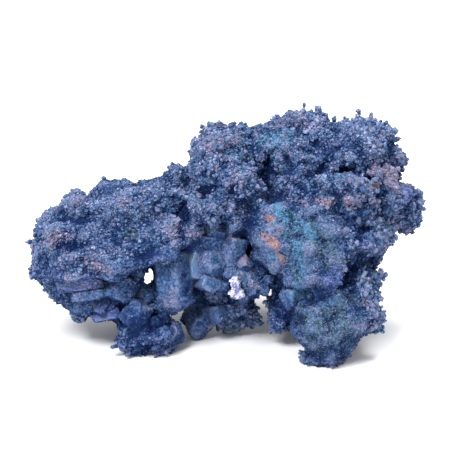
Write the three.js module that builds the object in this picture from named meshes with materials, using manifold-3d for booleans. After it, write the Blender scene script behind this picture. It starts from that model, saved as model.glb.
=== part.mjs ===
// Native copper cluster: one mass of copper that grew together from lumps of small crystals,
// with blocky and prismatic crystals on its underside, clefts and pits between the lumps,
// a see-through gap and sprigs of crystals round its edges, and one grain of white calcite
// that is caught in it. Millimetres, +Z up, resting on its feet at Z = 0.
import * as THREE from "three";
import { ConvexGeometry } from "three/addons/geometries/ConvexGeometry.js";
import { ImprovedNoise } from "three/addons/math/ImprovedNoise.js";
import { mergeVertices } from "three/addons/utils/BufferGeometryUtils.js";
import Module from "manifold-3d";

// The cluster is laid out as it is looked at from the front: [across, deep, up] in mm, with
// across to the right, deep away from the viewer and up from its lowest point. That layout
// leans back by LEAN on its feet.
const LEAN = THREE.MathUtils.degToRad(20);
const FOOT_DEEP = -12; // where the foremost foot stands, so that its sole is at Z = 0
const CENTRE = [0.88, 16.07]; // X and Y of the layout's origin in the part's own frame

const FACET = 4.7; // length of a lump's facets
const SQUARENESS = 2.6; // 2 makes the lumps ellipsoids, and more squares them
const BUMPS = [
  { length: 9, height: 5.2, seed: 0 },
  { length: 4.1, height: 3.2, seed: 7 },
]; // from one bump of a lump to the next, and their height where noise is at its most
const BUMPY_RADIUS = 8; // lumps smaller than this have lower bumps
const NUB = 1.4; // size of the crystals that stud the lumps
const NUB_VARIES = 0.4; // how much that size varies, as a share of it
const NUB_SPACING = 5; // least distance from one of them to the next
const NUB_BAND = 0.3; // how far from a lump's outline they stand, as a share of its depth
const SOLE = 0.7; // what the feet have lost where they stand
const SHORTEST = 1.6; // corners that meet closer than this are drawn together
const LEAST_TURN = 0.85; // cosine of the most that a facet may turn when they are
const FLOOR = { side: 300, thick: 60 }; // what the feet are worn flat on, larger than the cluster

// Lumps of small crystals: where, half sizes, turn in degrees seen from the front, and whether
// crystals stud them.
const LUMPS = {
  slab_core: { at: [-31, 3, 44], half: [18, 13, 10.2], turn: 22, studs: true },
  slab_left_end: { at: [-47.8, -2, 34.4], half: [10.6, 12, 10.8], turn: 0, studs: true },
  slab_upper: { at: [-32.4, 7, 48], half: [12, 11, 7.4], turn: 12, studs: true },
  slab_shoulder: { at: [-52.6, -1, 42.8], half: [4.6, 7, 5], turn: 0, studs: true },
  slab_knob: { at: [-44, -5, 47.8], half: [3.8, 5.4, 5], turn: 0, studs: false },
  slab_terrace: { at: [-45.4, -8.6, 38.2], half: [10.4, 6, 4], turn: 10, studs: true },
  slab_front: { at: [-42, -8.4, 30.6], half: [13, 8, 5.4], turn: 8, studs: true },
  slab_patch: { at: [-31.6, -9, 31], half: [5.4, 7, 5], turn: 30, studs: true },
  slab_tongue: { at: [-20.5, -8.5, 38.6], half: [14, 8, 4.6], turn: 15, studs: true },
  slab_join: { at: [-18.4, 4, 48.6], half: [9.6, 12, 8.4], turn: 18, studs: true },
  slab_crest: { at: [-14.6, 5, 57], half: [3.7, 6, 3.8], turn: 0, studs: true },
  slab_notch: { at: [-36.4, 6, 54], half: [2.6, 5, 2.2], turn: 0, studs: true },
  slab_back_left: { at: [-44.5, 13, 39], half: [9.5, 9, 9], turn: 10, studs: true },
  slab_back_right: { at: [-29, 15, 45], half: [10.5, 9, 8.5], turn: 20, studs: true },
  slab_heel: { at: [-26, -2, 30.4], half: [3.4, 6, 4.8], turn: -20, studs: false },
  under_slab: { at: [-32, 0, 27.2], half: [6.8, 7, 4.6], turn: 36, studs: false },
  left_plates: { at: [-43, 2, 22.8], half: [9.6, 9, 5.2], turn: -10, studs: false },
  left_base: { at: [-38, 5, 17.8], half: [8.4, 7, 3.8], turn: -14, studs: false },
  left_toe: { at: [-44.2, 3, 14.6], half: [3.6, 4, 2.2], turn: 0, studs: true },
  left_bridge: { at: [-31.5, 5, 17.4], half: [7, 8, 4.4], turn: -38, studs: false },
  left_foot: { at: [-23, -2, 9.6], half: [8.4, 8.5, 6], turn: 4, studs: true },
  left_back_leg: { at: [-28.8, 15, 20.4], half: [3.8, 5.6, 10.4], turn: 0, studs: false },
  left_back_hip: { at: [-30.6, 13, 28.5], half: [5, 7, 5.5], turn: 0, studs: false },
  left_foot_heel: { at: [-31, 2, 8.8], half: [2.8, 5, 3.2], turn: 0, studs: true },
  prism_root: { at: [-18, -3, 18], half: [3.6, 4.6, 3], turn: 0, studs: false },
  centre_dome: { at: [-0.8, -5, 56], half: [10.4, 12, 12.4], turn: 12, studs: true },
  centre_cap: { at: [-0.8, -1, 63.8], half: [7.4, 9, 4.4], turn: 8, studs: true },
  centre_brow: { at: [-5.2, -9, 48.4], half: [6.8, 6, 5.2], turn: 0, studs: true },
  centre_cheek: { at: [4.6, -8, 47.2], half: [4.6, 6, 6], turn: 0, studs: true },
  centre_crown: { at: [0.5, 6, 69], half: [6.6, 6, 4], turn: -4, studs: true },
  crown_link: { at: [9, 6, 67.6], half: [4.2, 5, 3.2], turn: 40, studs: true },
  centre_back: { at: [0, 12, 52.4], half: [12.4, 12, 13], turn: 6, studs: true },
  centre_wall: { at: [0, 8, 31.4], half: [13, 10.6, 12.4], turn: 0, studs: false },
  wall_lip: { at: [7.6, -5, 25.2], half: [6.4, 6, 4.2], turn: 0, studs: true },
  smooth_cheek: { at: [3, -3, 42], half: [4.4, 6, 5.4], turn: 0, studs: false },
  right_dome: { at: [19.5, 3, 61.4], half: [12, 14, 12.5], turn: 20, studs: true },
  right_dome_top: { at: [23.4, 5, 68.2], half: [12.2, 11, 8.4], turn: 4, studs: true },
  right_dome_end: { at: [37.2, 4, 61.4], half: [13, 14, 11.8], turn: -12, studs: true },
  right_shoulder: { at: [43.6, 7, 66.4], half: [7.6, 9, 7.2], turn: -30, studs: true },
  right_brow: { at: [31, -8.5, 50], half: [15, 9, 5], turn: 2, studs: true },
  right_edge: { at: [50.6, 6, 63.6], half: [3.6, 5, 5.6], turn: 0, studs: true },
  right_cheek: { at: [46.5, -2, 54.4], half: [9, 9, 6.6], turn: -14, studs: true },
  right_plate: { at: [52.6, 6, 48.2], half: [5.4, 6, 8.6], turn: 10, studs: true },
  right_web: { at: [45.2, 2, 43.2], half: [5, 7, 6.8], turn: 20, studs: true },
  right_back_upper: { at: [11, 16, 57], half: [12, 10, 12], turn: 10, studs: true },
  right_back_lower: { at: [32, 15, 51], half: [14, 11, 13], turn: 10, studs: true },
  face_body: { at: [22, 0, 37], half: [13.6, 13, 12.5], turn: 0, studs: false },
  face_left_lobe: { at: [14.8, -12, 36.4], half: [6.6, 7, 11], turn: -6, studs: false },
  flank: { at: [37, -2, 38], half: [8.6, 13, 12.5], turn: -20, studs: true },
  flank_low: { at: [41.4, 3, 27], half: [4.6, 9, 9], turn: 6, studs: true },
  lower_lobe: { at: [31, -11, 15], half: [10, 9, 11], turn: -38, studs: false },
  lower_lobe_top: { at: [40.4, -5, 23], half: [6, 9, 9.4], turn: -14, studs: true },
  lower_lobe_tip: { at: [29.2, -10, 5.8], half: [6.6, 7, 5], turn: 0, studs: true },
  lower_lobe_rim: { at: [41, -8, 15], half: [5.8, 7, 4.6], turn: 40, studs: true },
  dark_nest: { at: [18.6, 2, 16.6], half: [6.2, 7, 7.2], turn: 0, studs: true },
  middle_foot: { at: [2.6, 9, 16.4], half: [7.4, 7, 5.4], turn: 0, studs: true },
  back_body: { at: [25, 14, 27], half: [11.5, 11, 13], turn: 0, studs: true },
  back_foot: { at: [25, 22, 19], half: [7, 7, 7.5], turn: 0, studs: true },
};

// Flat-faced crystals that stand out of the lumps: where, size [wide, deep, high], sides, turn
// seen from the front and yaw seen from above, in degrees, and how much the top narrows.
const CRYSTALS = {
  long_prism: { at: [-16.4, -4.5, 27.2], size: [11.2, 11, 19], sides: 6, turn: 8, yaw: 12, taper: 0.86 },
  prism_plate: { at: [-9.6, -3, 30.4], size: [4, 7, 8.5], sides: 4, turn: 8, yaw: 20, taper: 0.9 },
  wall_block_left: { at: [-5, -4, 26.2], size: [8.4, 8, 6.4], sides: 4, turn: -24, yaw: 15, taper: 0.75 },
  ledge_plate: { at: [-41, -7, 22.2], size: [12, 8, 4], sides: 4, turn: 5, yaw: 12, taper: 0.85 },
  toe_block: { at: [-43.4, -2.5, 18.2], size: [6.6, 8, 5.4], sides: 4, turn: -5, yaw: 15, taper: 0.8 },
  base_block: { at: [-36, -1.5, 18.2], size: [8, 9, 5.4], sides: 5, turn: -12, yaw: 0, taper: 0.8 },
  foot_prism: { at: [-22.2, -1, 20], size: [5.4, 6, 13], sides: 4, turn: 3, yaw: 40, taper: 0.35 },
  foot_wedge: { at: [-26.6, -1, 21.8], size: [6.4, 7, 6.4], sides: 4, turn: 30, yaw: 25, taper: 0.8 },
  foot_corner: { at: [-16.6, 0, 9.2], size: [7.4, 8, 8.6], sides: 5, turn: -24, yaw: 10, taper: 0.75 },
  middle_fin: { at: [8.8, 8, 15.2], size: [5, 5, 9], sides: 3, turn: -160, yaw: 50, taper: 0.35 },
  under_block_left: { at: [19.4, -9, 21.4], size: [6.4, 7, 6.2], sides: 4, turn: 20, yaw: 30, taper: 0.8 },
  under_block_right: { at: [24.8, -8, 21.4], size: [5.4, 6, 5.4], sides: 4, turn: -8, yaw: 10, taper: 0.8 },
};

// Crystals that are whole dodecahedra: where, half sizes and turn.
const DODECAHEDRA = {
  wall_block: { at: [-3.4, -5, 31.6], half: [5, 5, 4.6], turn: 20 },
  middle_block: { at: [-7.6, 9, 15], half: [5.7, 6.4, 7], turn: 8 },
  foot_block: { at: [-26, -7, 16.6], half: [4.7, 4.6, 4.2], turn: 10 },
  ledge_block: { at: [-31.4, -4.4, 23], half: [4.8, 5, 4.6], turn: -14 },
};

// The broad front face of the right half: its outline [across, up], and how deep its lower and
// upper edges lie. It leans back more than the cluster, so it catches the light.
const FACE_OUTLINE = [
  [15.6, 46.6], [22.4, 48.6], [32, 45], [35.2, 36], [34.4, 25.2], [27, 24.4], [17.6, 24.6],
];
const FACE_DEEP = { low: -17.5, high: -11, back: 0 };

// Pits and clefts between the lumps.
const PITS = {
  dome_cleft: { at: [12.4, -9, 58.6], half: [2, 9, 6], turn: -6 },
  slab_cleft: { at: [-12.2, -9, 46], half: [1.7, 8, 5.6], turn: 4 },
  face_shaft: { at: [7, -10, 38.4], half: [1.9, 9, 4.6], turn: 8 },
  cheek_pit: { at: [41.4, -13, 42.2], half: [4, 6, 2], turn: -10 },
  dome_pit_low: { at: [35.4, -11, 58.4], half: [1.7, 6, 3.4], turn: 10 },
  dome_pit_high: { at: [24, -7, 69.4], half: [2.4, 4.5, 1.8], turn: 0 },
  brow_pit: { at: [42, -9, 55.2], half: [3.4, 5, 1.6], turn: 20 },
  left_pit: { at: [-48, -12, 37], half: [2.2, 4, 1.5], turn: 0 },
  lobe_seam: { at: [30, -18, 22.6], half: [9.5, 5, 0.9], turn: 26 },
};

// Sprigs of crystals that stand up from the edges: foot, tip and thickness.
const SPRIGS = [
  { foot: [42.6, 6, 71.4], tip: [40.6, 6, 77.4], thick: 1.7 },
  { foot: [43.8, 8, 71.4], tip: [44.8, 8.4, 76.6], thick: 1.7 },
  { foot: [47.4, 7, 69.4], tip: [49.6, 7, 73.6], thick: 1.6 },
  { foot: [50, 7, 66], tip: [53.4, 7, 67.6], thick: 1.9 },
  { foot: [50.6, 5, 62.2], tip: [54, 5, 61.4], thick: 1.7 },
  { foot: [37, 6, 70.6], tip: [37.2, 6, 74.6], thick: 1.9 },
  { foot: [23.4, 5, 75], tip: [23.4, 5, 78.2], thick: 2.6 },
  { foot: [28, 4, 74.2], tip: [28.3, 4, 77.4], thick: 1.5 },
  { foot: [20, 4, 74.4], tip: [19.8, 4, 77.2], thick: 1.7 },
  { foot: [32.6, 6, 72], tip: [33, 6, 75.2], thick: 1.5 },
  { foot: [-4, 6, 69], tip: [-6.2, 5.6, 70.4], thick: 1.7 },
  { foot: [42, -7, 16], tip: [47.8, -7, 13.2], thick: 2 },
];

const BEVEL = 0.16; // of a crystal's height and width, at its ends
const CORNER = 0.55; // how far the corners of a crystal's section reach, as a share of its width

// A sprig's profile: radius as a share of its thickness, and height as a share of its length.
const SPRIG_PROFILE = [[0, 0], [0.36, 0], [0.3, 0.62], [0.62, 0.84], [0, 1]];
const SPRIG_SIDES = 5;

// The white calcite: a grain that is held in the copper at the front.
const CALCITE_GRAIN = { at: [3.8, -8.9, 24], size: [2.8, 4, 6], sides: 5, turn: -12, yaw: 10, taper: 0.7 };
const CALCITE_GAP = 0.3; // between the grain and the copper that it sits in

const wasm = await Module();
wasm.setup();
const noise = new ImprovedNoise();

// Noise from -1 to 1 at a point, repeating about every `length` mm.
function noiseAt(point, length, seed = 0) {
  return noise.noise(point.x / length + seed, point.y / length + seed / 3, point.z / length);
}

// A closed geometry as a manifold-3d solid.
function solidOf(geometry) {
  const bare = geometry.index ? geometry.toNonIndexed() : geometry;
  bare.deleteAttribute("normal");
  bare.deleteAttribute("uv");
  const merged = mergeVertices(bare, 1e-3);
  return new wasm.Manifold(new wasm.Mesh({
    numProp: 3,
    vertProperties: merged.attributes.position.array,
    triVerts: new Uint32Array(merged.index.array),
  }));
}

// Draws together the corners that crowd where lumps meet. The shortest edges go first, and an
// edge stays where drawing it together would open the surface or turn one of its facets over.
function drawTogether(solid, shortest) {
  const { vertProperties, triVerts } = solid.getMesh();
  const corners = [];
  for (let i = 0; i < vertProperties.length; i += 3) {
    corners.push(new THREE.Vector3().fromArray(vertProperties, i));
  }
  const around = corners.map(() => new Set()); // the facets that meet at each corner
  const facets = new Set();
  for (let i = 0; i < triVerts.length; i += 3) {
    const facet = [...triVerts.subarray(i, i + 3)];
    facets.add(facet);
    facet.forEach((corner) => around[corner].add(facet));
  }
  const nextTo = (corner) => new Set([...around[corner]].flat().filter((other) => other !== corner));
  const facing = (facet, moved, spot) => {
    const [a, b, c] = facet.map((corner) => (moved.includes(corner) ? spot : corners[corner]));
    return b.clone().sub(a).cross(c.clone().sub(a)).normalize();
  };
  const edges = [...facets].flatMap(([a, b, c]) => [[a, b], [b, c], [c, a]]);
  const long = ([a, b]) => corners[a].distanceTo(corners[b]);
  for (const [keep, drop] of edges.filter((edge) => edge[0] < edge[1]).sort((p, q) => long(p) - long(q))) {
    if (!around[keep].size || !around[drop].size || long([keep, drop]) > shortest) continue;
    const beside = nextTo(drop);
    const shared = [...nextTo(keep)].filter((corner) => beside.has(corner));
    if (shared.length !== 2 || !beside.has(keep)) continue;
    const spot = corners[keep].clone().lerp(corners[drop], 0.5);
    const closing = [...around[keep]].filter((facet) => facet.includes(drop));
    const staying = [...around[keep], ...around[drop]].filter((facet) => !closing.includes(facet));
    const turned = (facet) => facing(facet, [], spot).dot(facing(facet, [keep, drop], spot));
    if (staying.some((facet) => turned(facet) < LEAST_TURN)) continue;
    for (const facet of closing) {
      facets.delete(facet);
      facet.forEach((corner) => around[corner].delete(facet));
    }
    for (const facet of around[drop]) {
      facet[facet.indexOf(drop)] = keep;
      around[keep].add(facet);
    }
    around[drop].clear();
    corners[keep] = spot;
  }
  const geometry = new THREE.BufferGeometry().setFromPoints([...facets].flat().map((i) => corners[i]));
  return solidOf(geometry);
}

// Turns a geometry as seen from the front, and moves it to its place in the layout.
function place(geometry, at, turn = 0, yaw = 0) {
  const radians = THREE.MathUtils.degToRad;
  return geometry.rotateZ(radians(yaw)).rotateY(radians(-turn)).translate(...at);
}

// The mean half size of a lump.
const radiusOf = ({ half }) => Math.cbrt(half[0] * half[1] * half[2]);

// The point of a lump's surface in a direction from its centre. The lump is an ellipsoid made a
// little square, |x|^s + |y|^s + |z|^s = 1 before it is stretched, with bumps that follow noise.
function lumpPoint(one, direction) {
  const at = new THREE.Vector3(...one.at);
  const powers = direction.toArray().map((length) => Math.abs(length) ** SQUARENESS);
  const reach = (powers[0] + powers[1] + powers[2]) ** (-1 / SQUARENESS);
  const point = direction.clone().multiplyScalar(reach).multiply(new THREE.Vector3(...one.half));
  const spot = point.clone().add(at);
  const swells = BUMPS.map(({ length, height, seed }) => height * noiseAt(spot, length, seed));
  const swell = swells.reduce((sum, each) => sum + each) * Math.min(1, radiusOf(one) / BUMPY_RADIUS);
  point.addScaledVector(point.clone().normalize(), swell);
  const turn = THREE.MathUtils.degToRad(one.turn);
  return point.applyAxisAngle(new THREE.Vector3(0, -1, 0), turn).add(at);
}

// A lump as an icosphere with facets of about FACET.
function lump(one) {
  const detail = Math.max(1, Math.round(radiusOf(one) / FACET) - 1);
  const ball = new THREE.IcosahedronGeometry(1, detail);
  const corners = ball.attributes.position;
  for (let i = 0; i < corners.count; i++) {
    const point = lumpPoint(one, new THREE.Vector3().fromBufferAttribute(corners, i));
    corners.setXYZ(i, point.x, point.y, point.z);
  }
  return ball;
}

// A crystal: a straight-sided prism whose top narrows, with bevelled ends. Its section's corners
// reach CORNER of its width from the middle, so that its sides lie about half its width from it.
function crystal({ at, size, sides, turn, yaw, taper }, grow = 0) {
  const [width, depth, tall] = size.map((length) => length + 2 * grow);
  const rings = [
    { height: -0.5, reach: 1 - BEVEL },
    { height: BEVEL - 0.5, reach: 1 },
    { height: 0.5 - BEVEL, reach: (1 + taper) / 2 },
    { height: 0.5, reach: taper * (1 - BEVEL) },
  ];
  const corners = rings.flatMap(({ height, reach }) => Array.from({ length: sides }, (_, k) => {
    const angle = (2 * Math.PI * (k + 0.5)) / sides;
    const x = CORNER * reach * width * Math.cos(angle);
    const y = CORNER * reach * depth * Math.sin(angle);
    return new THREE.Vector3(x, y, height * tall);
  }));
  return place(new ConvexGeometry(corners), at, turn, yaw);
}

// A crystal that is a whole dodecahedron.
function dodecahedron({ at, half, turn }) {
  return place(new THREE.DodecahedronGeometry(1).scale(...half), at, turn);
}

// The broad face: its outline between a leaning front plane and a back plane.
function faceBlock() {
  const ups = FACE_OUTLINE.map(([, up]) => up);
  const lowest = Math.min(...ups);
  const reach = Math.max(...ups) - lowest;
  const corners = FACE_OUTLINE.flatMap(([across, up]) => {
    const deep = THREE.MathUtils.lerp(FACE_DEEP.low, FACE_DEEP.high, (up - lowest) / reach);
    return [new THREE.Vector3(across, deep, up), new THREE.Vector3(across, FACE_DEEP.back, up)];
  });
  return new ConvexGeometry(corners);
}

// A sprig: a rod that widens to a pointed head.
function sprig({ foot, tip, thick }) {
  const along = new THREE.Vector3(...tip).sub(new THREE.Vector3(...foot));
  const length = along.length();
  const profile = SPRIG_PROFILE.map(([radius, height]) => new THREE.Vector2(radius, height));
  const rod = new THREE.LatheGeometry(profile, SPRIG_SIDES).scale(thick, length, thick);
  const turned = new THREE.Quaternion().setFromUnitVectors(new THREE.Vector3(0, 1, 0), along.normalize());
  return rod.applyQuaternion(turned).translate(...foot);
}

// Whether a point of the front view lies inside a lump's outline there.
function covers(one, point) {
  const [across, , up] = one.at;
  const angle = THREE.MathUtils.degToRad(one.turn);
  const [dx, dz] = [point.x - across, point.z - up];
  const u = dx * Math.cos(angle) + dz * Math.sin(angle);
  const v = -dx * Math.sin(angle) + dz * Math.cos(angle);
  return (u / one.half[0]) ** 2 + (v / one.half[2]) ** 2 < 1;
}

// Small octahedral crystals on the lumps' corners, along the outline of the front view.
function nubs() {
  const lumps = Object.values(LUMPS);
  const spots = [];
  for (const one of lumps.filter(({ studs }) => studs)) {
    const corners = lump(one).attributes.position;
    for (let i = 0; i < corners.count; i++) {
      const spot = new THREE.Vector3().fromBufferAttribute(corners, i);
      const offEdge = Math.abs(spot.y - one.at[1]) > NUB_BAND * one.half[1];
      const hidden = lumps.some((other) => other !== one && covers(other, spot));
      const crowded = spots.some((other) => other.distanceTo(spot) < NUB_SPACING);
      if (!offEdge && !hidden && !crowded) spots.push(spot);
    }
  }
  return spots.map((spot) => {
    const chance = noiseAt(spot, NUB, 3);
    const nub = new THREE.OctahedronGeometry(NUB * (1 + NUB_VARIES * chance));
    return nub.rotateX(Math.PI * chance).rotateY(2 * Math.PI * chance).translate(...spot);
  });
}

// Everything leans back by LEAN, with the foremost foot's sole at Z = 0.
const lean = new THREE.Matrix4().makeRotationX(-LEAN);
lean.setPosition(-CENTRE[0], -CENTRE[1], FOOT_DEEP * Math.sin(LEAN) - SOLE);
const leaning = (geometry) => solidOf(geometry.applyMatrix4(lean));

const join = (pieces) => pieces.map(leaning).reduce((mass, piece) => mass.add(piece));

function copperMass() {
  const lumps = join(Object.values(LUMPS).map((one) => lump(one)));
  const pits = join(Object.values(PITS).map((pit) => lump(pit)));
  const crystals = join([
    ...Object.values(CRYSTALS).map((one) => crystal(one)),
    ...Object.values(DODECAHEDRA).map(dodecahedron),
    faceBlock(),
    ...SPRIGS.map(sprig),
    ...nubs(),
  ]);
  const pocket = leaning(crystal(CALCITE_GRAIN, CALCITE_GAP));
  const { side, thick } = FLOOR;
  const floor = solidOf(new THREE.BoxGeometry(side, side, thick).translate(0, 0, -thick / 2));
  return drawTogether(lumps.subtract(pits), SHORTEST).add(crystals).subtract(pocket).subtract(floor);
}

// A three.js mesh of a solid, with flat facets.
function meshOf(name, solid, material) {
  const { numProp, vertProperties, triVerts } = solid.getMesh();
  const corners = new Float32Array((vertProperties.length / numProp) * 3);
  for (let i = 0; i < corners.length / 3; i++) {
    corners.set(vertProperties.subarray(i * numProp, i * numProp + 3), i * 3);
  }
  const geometry = new THREE.BufferGeometry();
  geometry.setAttribute("position", new THREE.BufferAttribute(corners, 3));
  geometry.setIndex(new THREE.BufferAttribute(new Uint32Array(triVerts), 1));
  geometry.computeVertexNormals();
  const mesh = new THREE.Mesh(geometry, material);
  mesh.name = name;
  return mesh;
}

const finish = (color, roughness, metalness) => (
  new THREE.MeshStandardMaterial({ color, roughness, metalness, flatShading: true })
);
const copper = finish(0x4e628a, 0.55, 0.6);
const calcite = finish(0xd9d6ec, 0.4, 0);

const cluster = new THREE.Group();
cluster.add(meshOf("native_copper_mass", copperMass(), copper));
cluster.add(meshOf("white_calcite_grain", leaning(crystal(CALCITE_GRAIN)), calcite));

export default cluster;
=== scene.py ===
"""Native copper cluster: the skin, crystals and colours of its surface, with a floor, lights and a camera.

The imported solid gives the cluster's forms. The skin follows them, rounded where small crystals
crowd and left flat on the block crystals, and swells into buds. A crust of small closed crystals
sits on the skin, and short chains of them stand up from it.
"""

import math
from functools import reduce
from itertools import product

import bpy
import numpy as np
from bpy.props import FloatProperty, FloatVectorProperty, IntProperty, PointerProperty
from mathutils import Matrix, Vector


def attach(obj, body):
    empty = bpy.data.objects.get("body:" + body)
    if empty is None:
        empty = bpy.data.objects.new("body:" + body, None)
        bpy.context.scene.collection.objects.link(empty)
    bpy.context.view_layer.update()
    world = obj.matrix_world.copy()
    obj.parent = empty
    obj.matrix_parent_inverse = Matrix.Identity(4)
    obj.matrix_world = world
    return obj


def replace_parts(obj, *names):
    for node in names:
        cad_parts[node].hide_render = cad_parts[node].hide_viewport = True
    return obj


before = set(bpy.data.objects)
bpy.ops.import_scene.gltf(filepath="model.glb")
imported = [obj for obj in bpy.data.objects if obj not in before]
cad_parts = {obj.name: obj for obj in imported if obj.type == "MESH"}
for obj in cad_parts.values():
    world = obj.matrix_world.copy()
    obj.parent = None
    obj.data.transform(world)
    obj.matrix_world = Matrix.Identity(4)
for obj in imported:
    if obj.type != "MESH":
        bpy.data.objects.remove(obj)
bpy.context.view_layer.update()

bl_info = {
    "name": "Native Copper Cluster",
    "version": (1, 0, 0),
    "blender": (4, 5, 0),
    "location": "View3D > Sidebar > Copper",
    "description": "Dresses the packed copper cluster with its skin, crystal crust and colours",
    "category": "Add Mesh",
}

MM = 0.001
SIX_WAYS = np.concatenate([np.eye(3), -np.eye(3)])  # along each axis and back
BODY = "root"
COPPER_NODE = "native_copper_mass"
CALCITE_NODE = "white_calcite_grain"
SKIN = "copper_skin"
BLOCKS = "block_crystals"

# The cluster's layout as it is seen from the front, in mm: across to the right, deep away from
# the viewer and up. It leans back by LEAN in the frame, where its origin lies at LAYOUT_ORIGIN.
LEAN = math.radians(20)
LAYOUT_AXES = np.array([
    [1, 0, 0],
    [0, math.cos(LEAN), -math.sin(LEAN)],
    [0, math.sin(LEAN), math.cos(LEAN)],
])
LAYOUT_ORIGIN = np.array([-0.88, -16.07, -4.804])

# Painted shade: the skin under the crust is darker than the crystals on it.
PAINTED_SHADE_UNDER_CRUST = 0.2  # how much darker the skin is than the crystals on it
BACK = 6  # from how deep in the layout the crust counts as the back
CRYSTAL_GAP = 0.00002  # least height of a crystal above the floor, in metres
CUBE_HALF = 0.62  # half the edge of a cube crystal of radius 1
UNEVEN_MOST = 1.7  # how many standard deviations a crystal's size and stretch may reach

# Numbers that scatter the bits of whole numbers, for noise.
HASH_FACTORS = np.array([73856093, 19349663, 83492791], np.uint32)
HASH_ROUNDS = ((16, 0x7FEB352D), (15, 0x846CA68B))
HASH_SEED = 2654435761

# Noises of the layout: size in mm, seed and octaves.
NOISES = {
    "swell": (6.5, 21, 2), "jags": (2.2, 25, 3), "grain": (1.5, 51, 3), "pits": (1.7, 131, 2),
    "spot edges": (2.4, 71, 3), "shade edges": (3, 73, 3), "terraces": (3.2, 81, 2),
    "block grain": (1.3, 85, 3), "block lumps": (4.5, 87, 3), "block light": (3, 95, 3),
    "calcite grain": (1.5, 121, 3), "calcite lumps": (2.8, 123, 1),
}

# Humps of the skin: seed, width in cells, and how deep they are sunk in their heights.
HUMPS = {"buds": (31, 0.66, 0.9), "clumps": (33, 0.7, 0.6)}

# Seeds of the other cells, and of the random draws.
SEEDS = {"grit": 41, "turns": 61, "skin tone": 91, "block tone": 97, "blocks": 7, "crust": 29, "calcite": 5}
FIRST_STAIN_SEED, STAIN_SEED_STEP = 100, 20

# Painted light, dark in crevices and light on what stands out: its value on a level surface, and what
# grains, buds and lumps add by how far they stand out in mm: rounds of easing that level them, and the
# share.
LEVEL_PAINTED_LIGHT = 0.47
PAINTED_LIGHT_SHARES = ((4, 0.6), (24, 0.27), (120, 0.1))

# The calcite: voxel in metres, how many crystals it tries to seat, and their radius in mm.
CALCITE_VOXEL, CALCITE_CRYSTALS, CALCITE_RADIUS = 0.0003, 1400, 0.3

# The studio: the floor's radius and sides, the camera's place in the layout, its lens in mm and how near
# and far it sees, the sky's strength, and the lights' size, what they point at, their places and power.
FLOOR_RADIUS, FLOOR_SIDES = 3, 96
CAMERA_AT = (-0.15, -750, 42.6)
LENS = 200
CLIPPING = (0.05, 20)
SKY_STRENGTH = 0.72
LIGHT_SIZE = 0.5
LIT_MIDDLE = (0, 0, 0.035)
LIGHTS = {"key_light": ((-0.45, -0.6, 0.95), 18), "top_light": ((0.25, 0.1, 1.1), 12)}

# Finishes of the copper: speckle, the relief's grain and depth in metres, and roughness.
FINISHES = {
    "tarnished copper skin": (1.3, 0.0005, 0.00028, 0.55),
    "tarnished copper blocks": (1.4, 0.00045, 0.0002, 0.5),
    "tarnished copper crystals": (1.5, 0.0004, 0.0001, 0.54),
}

# How crystals are seated: least distance apart in mm, spread of their sizes, and from where to where their
# middles lie above the surface, in radii.
SEATING = {
    "chunks": (1.1, 0.3, (-0.3, 0.4)),
    "front grains": (0.47, 0.3, (-0.3, 0.5)),
    "back grains": (0.96, 0.26, (-0.3, 0.35)),
    "dust": (0.4, 0.3, (-0.5, 0.3)),
    "calcite": (0.44, 0.35, (-0.3, 0.6)),
}
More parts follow.
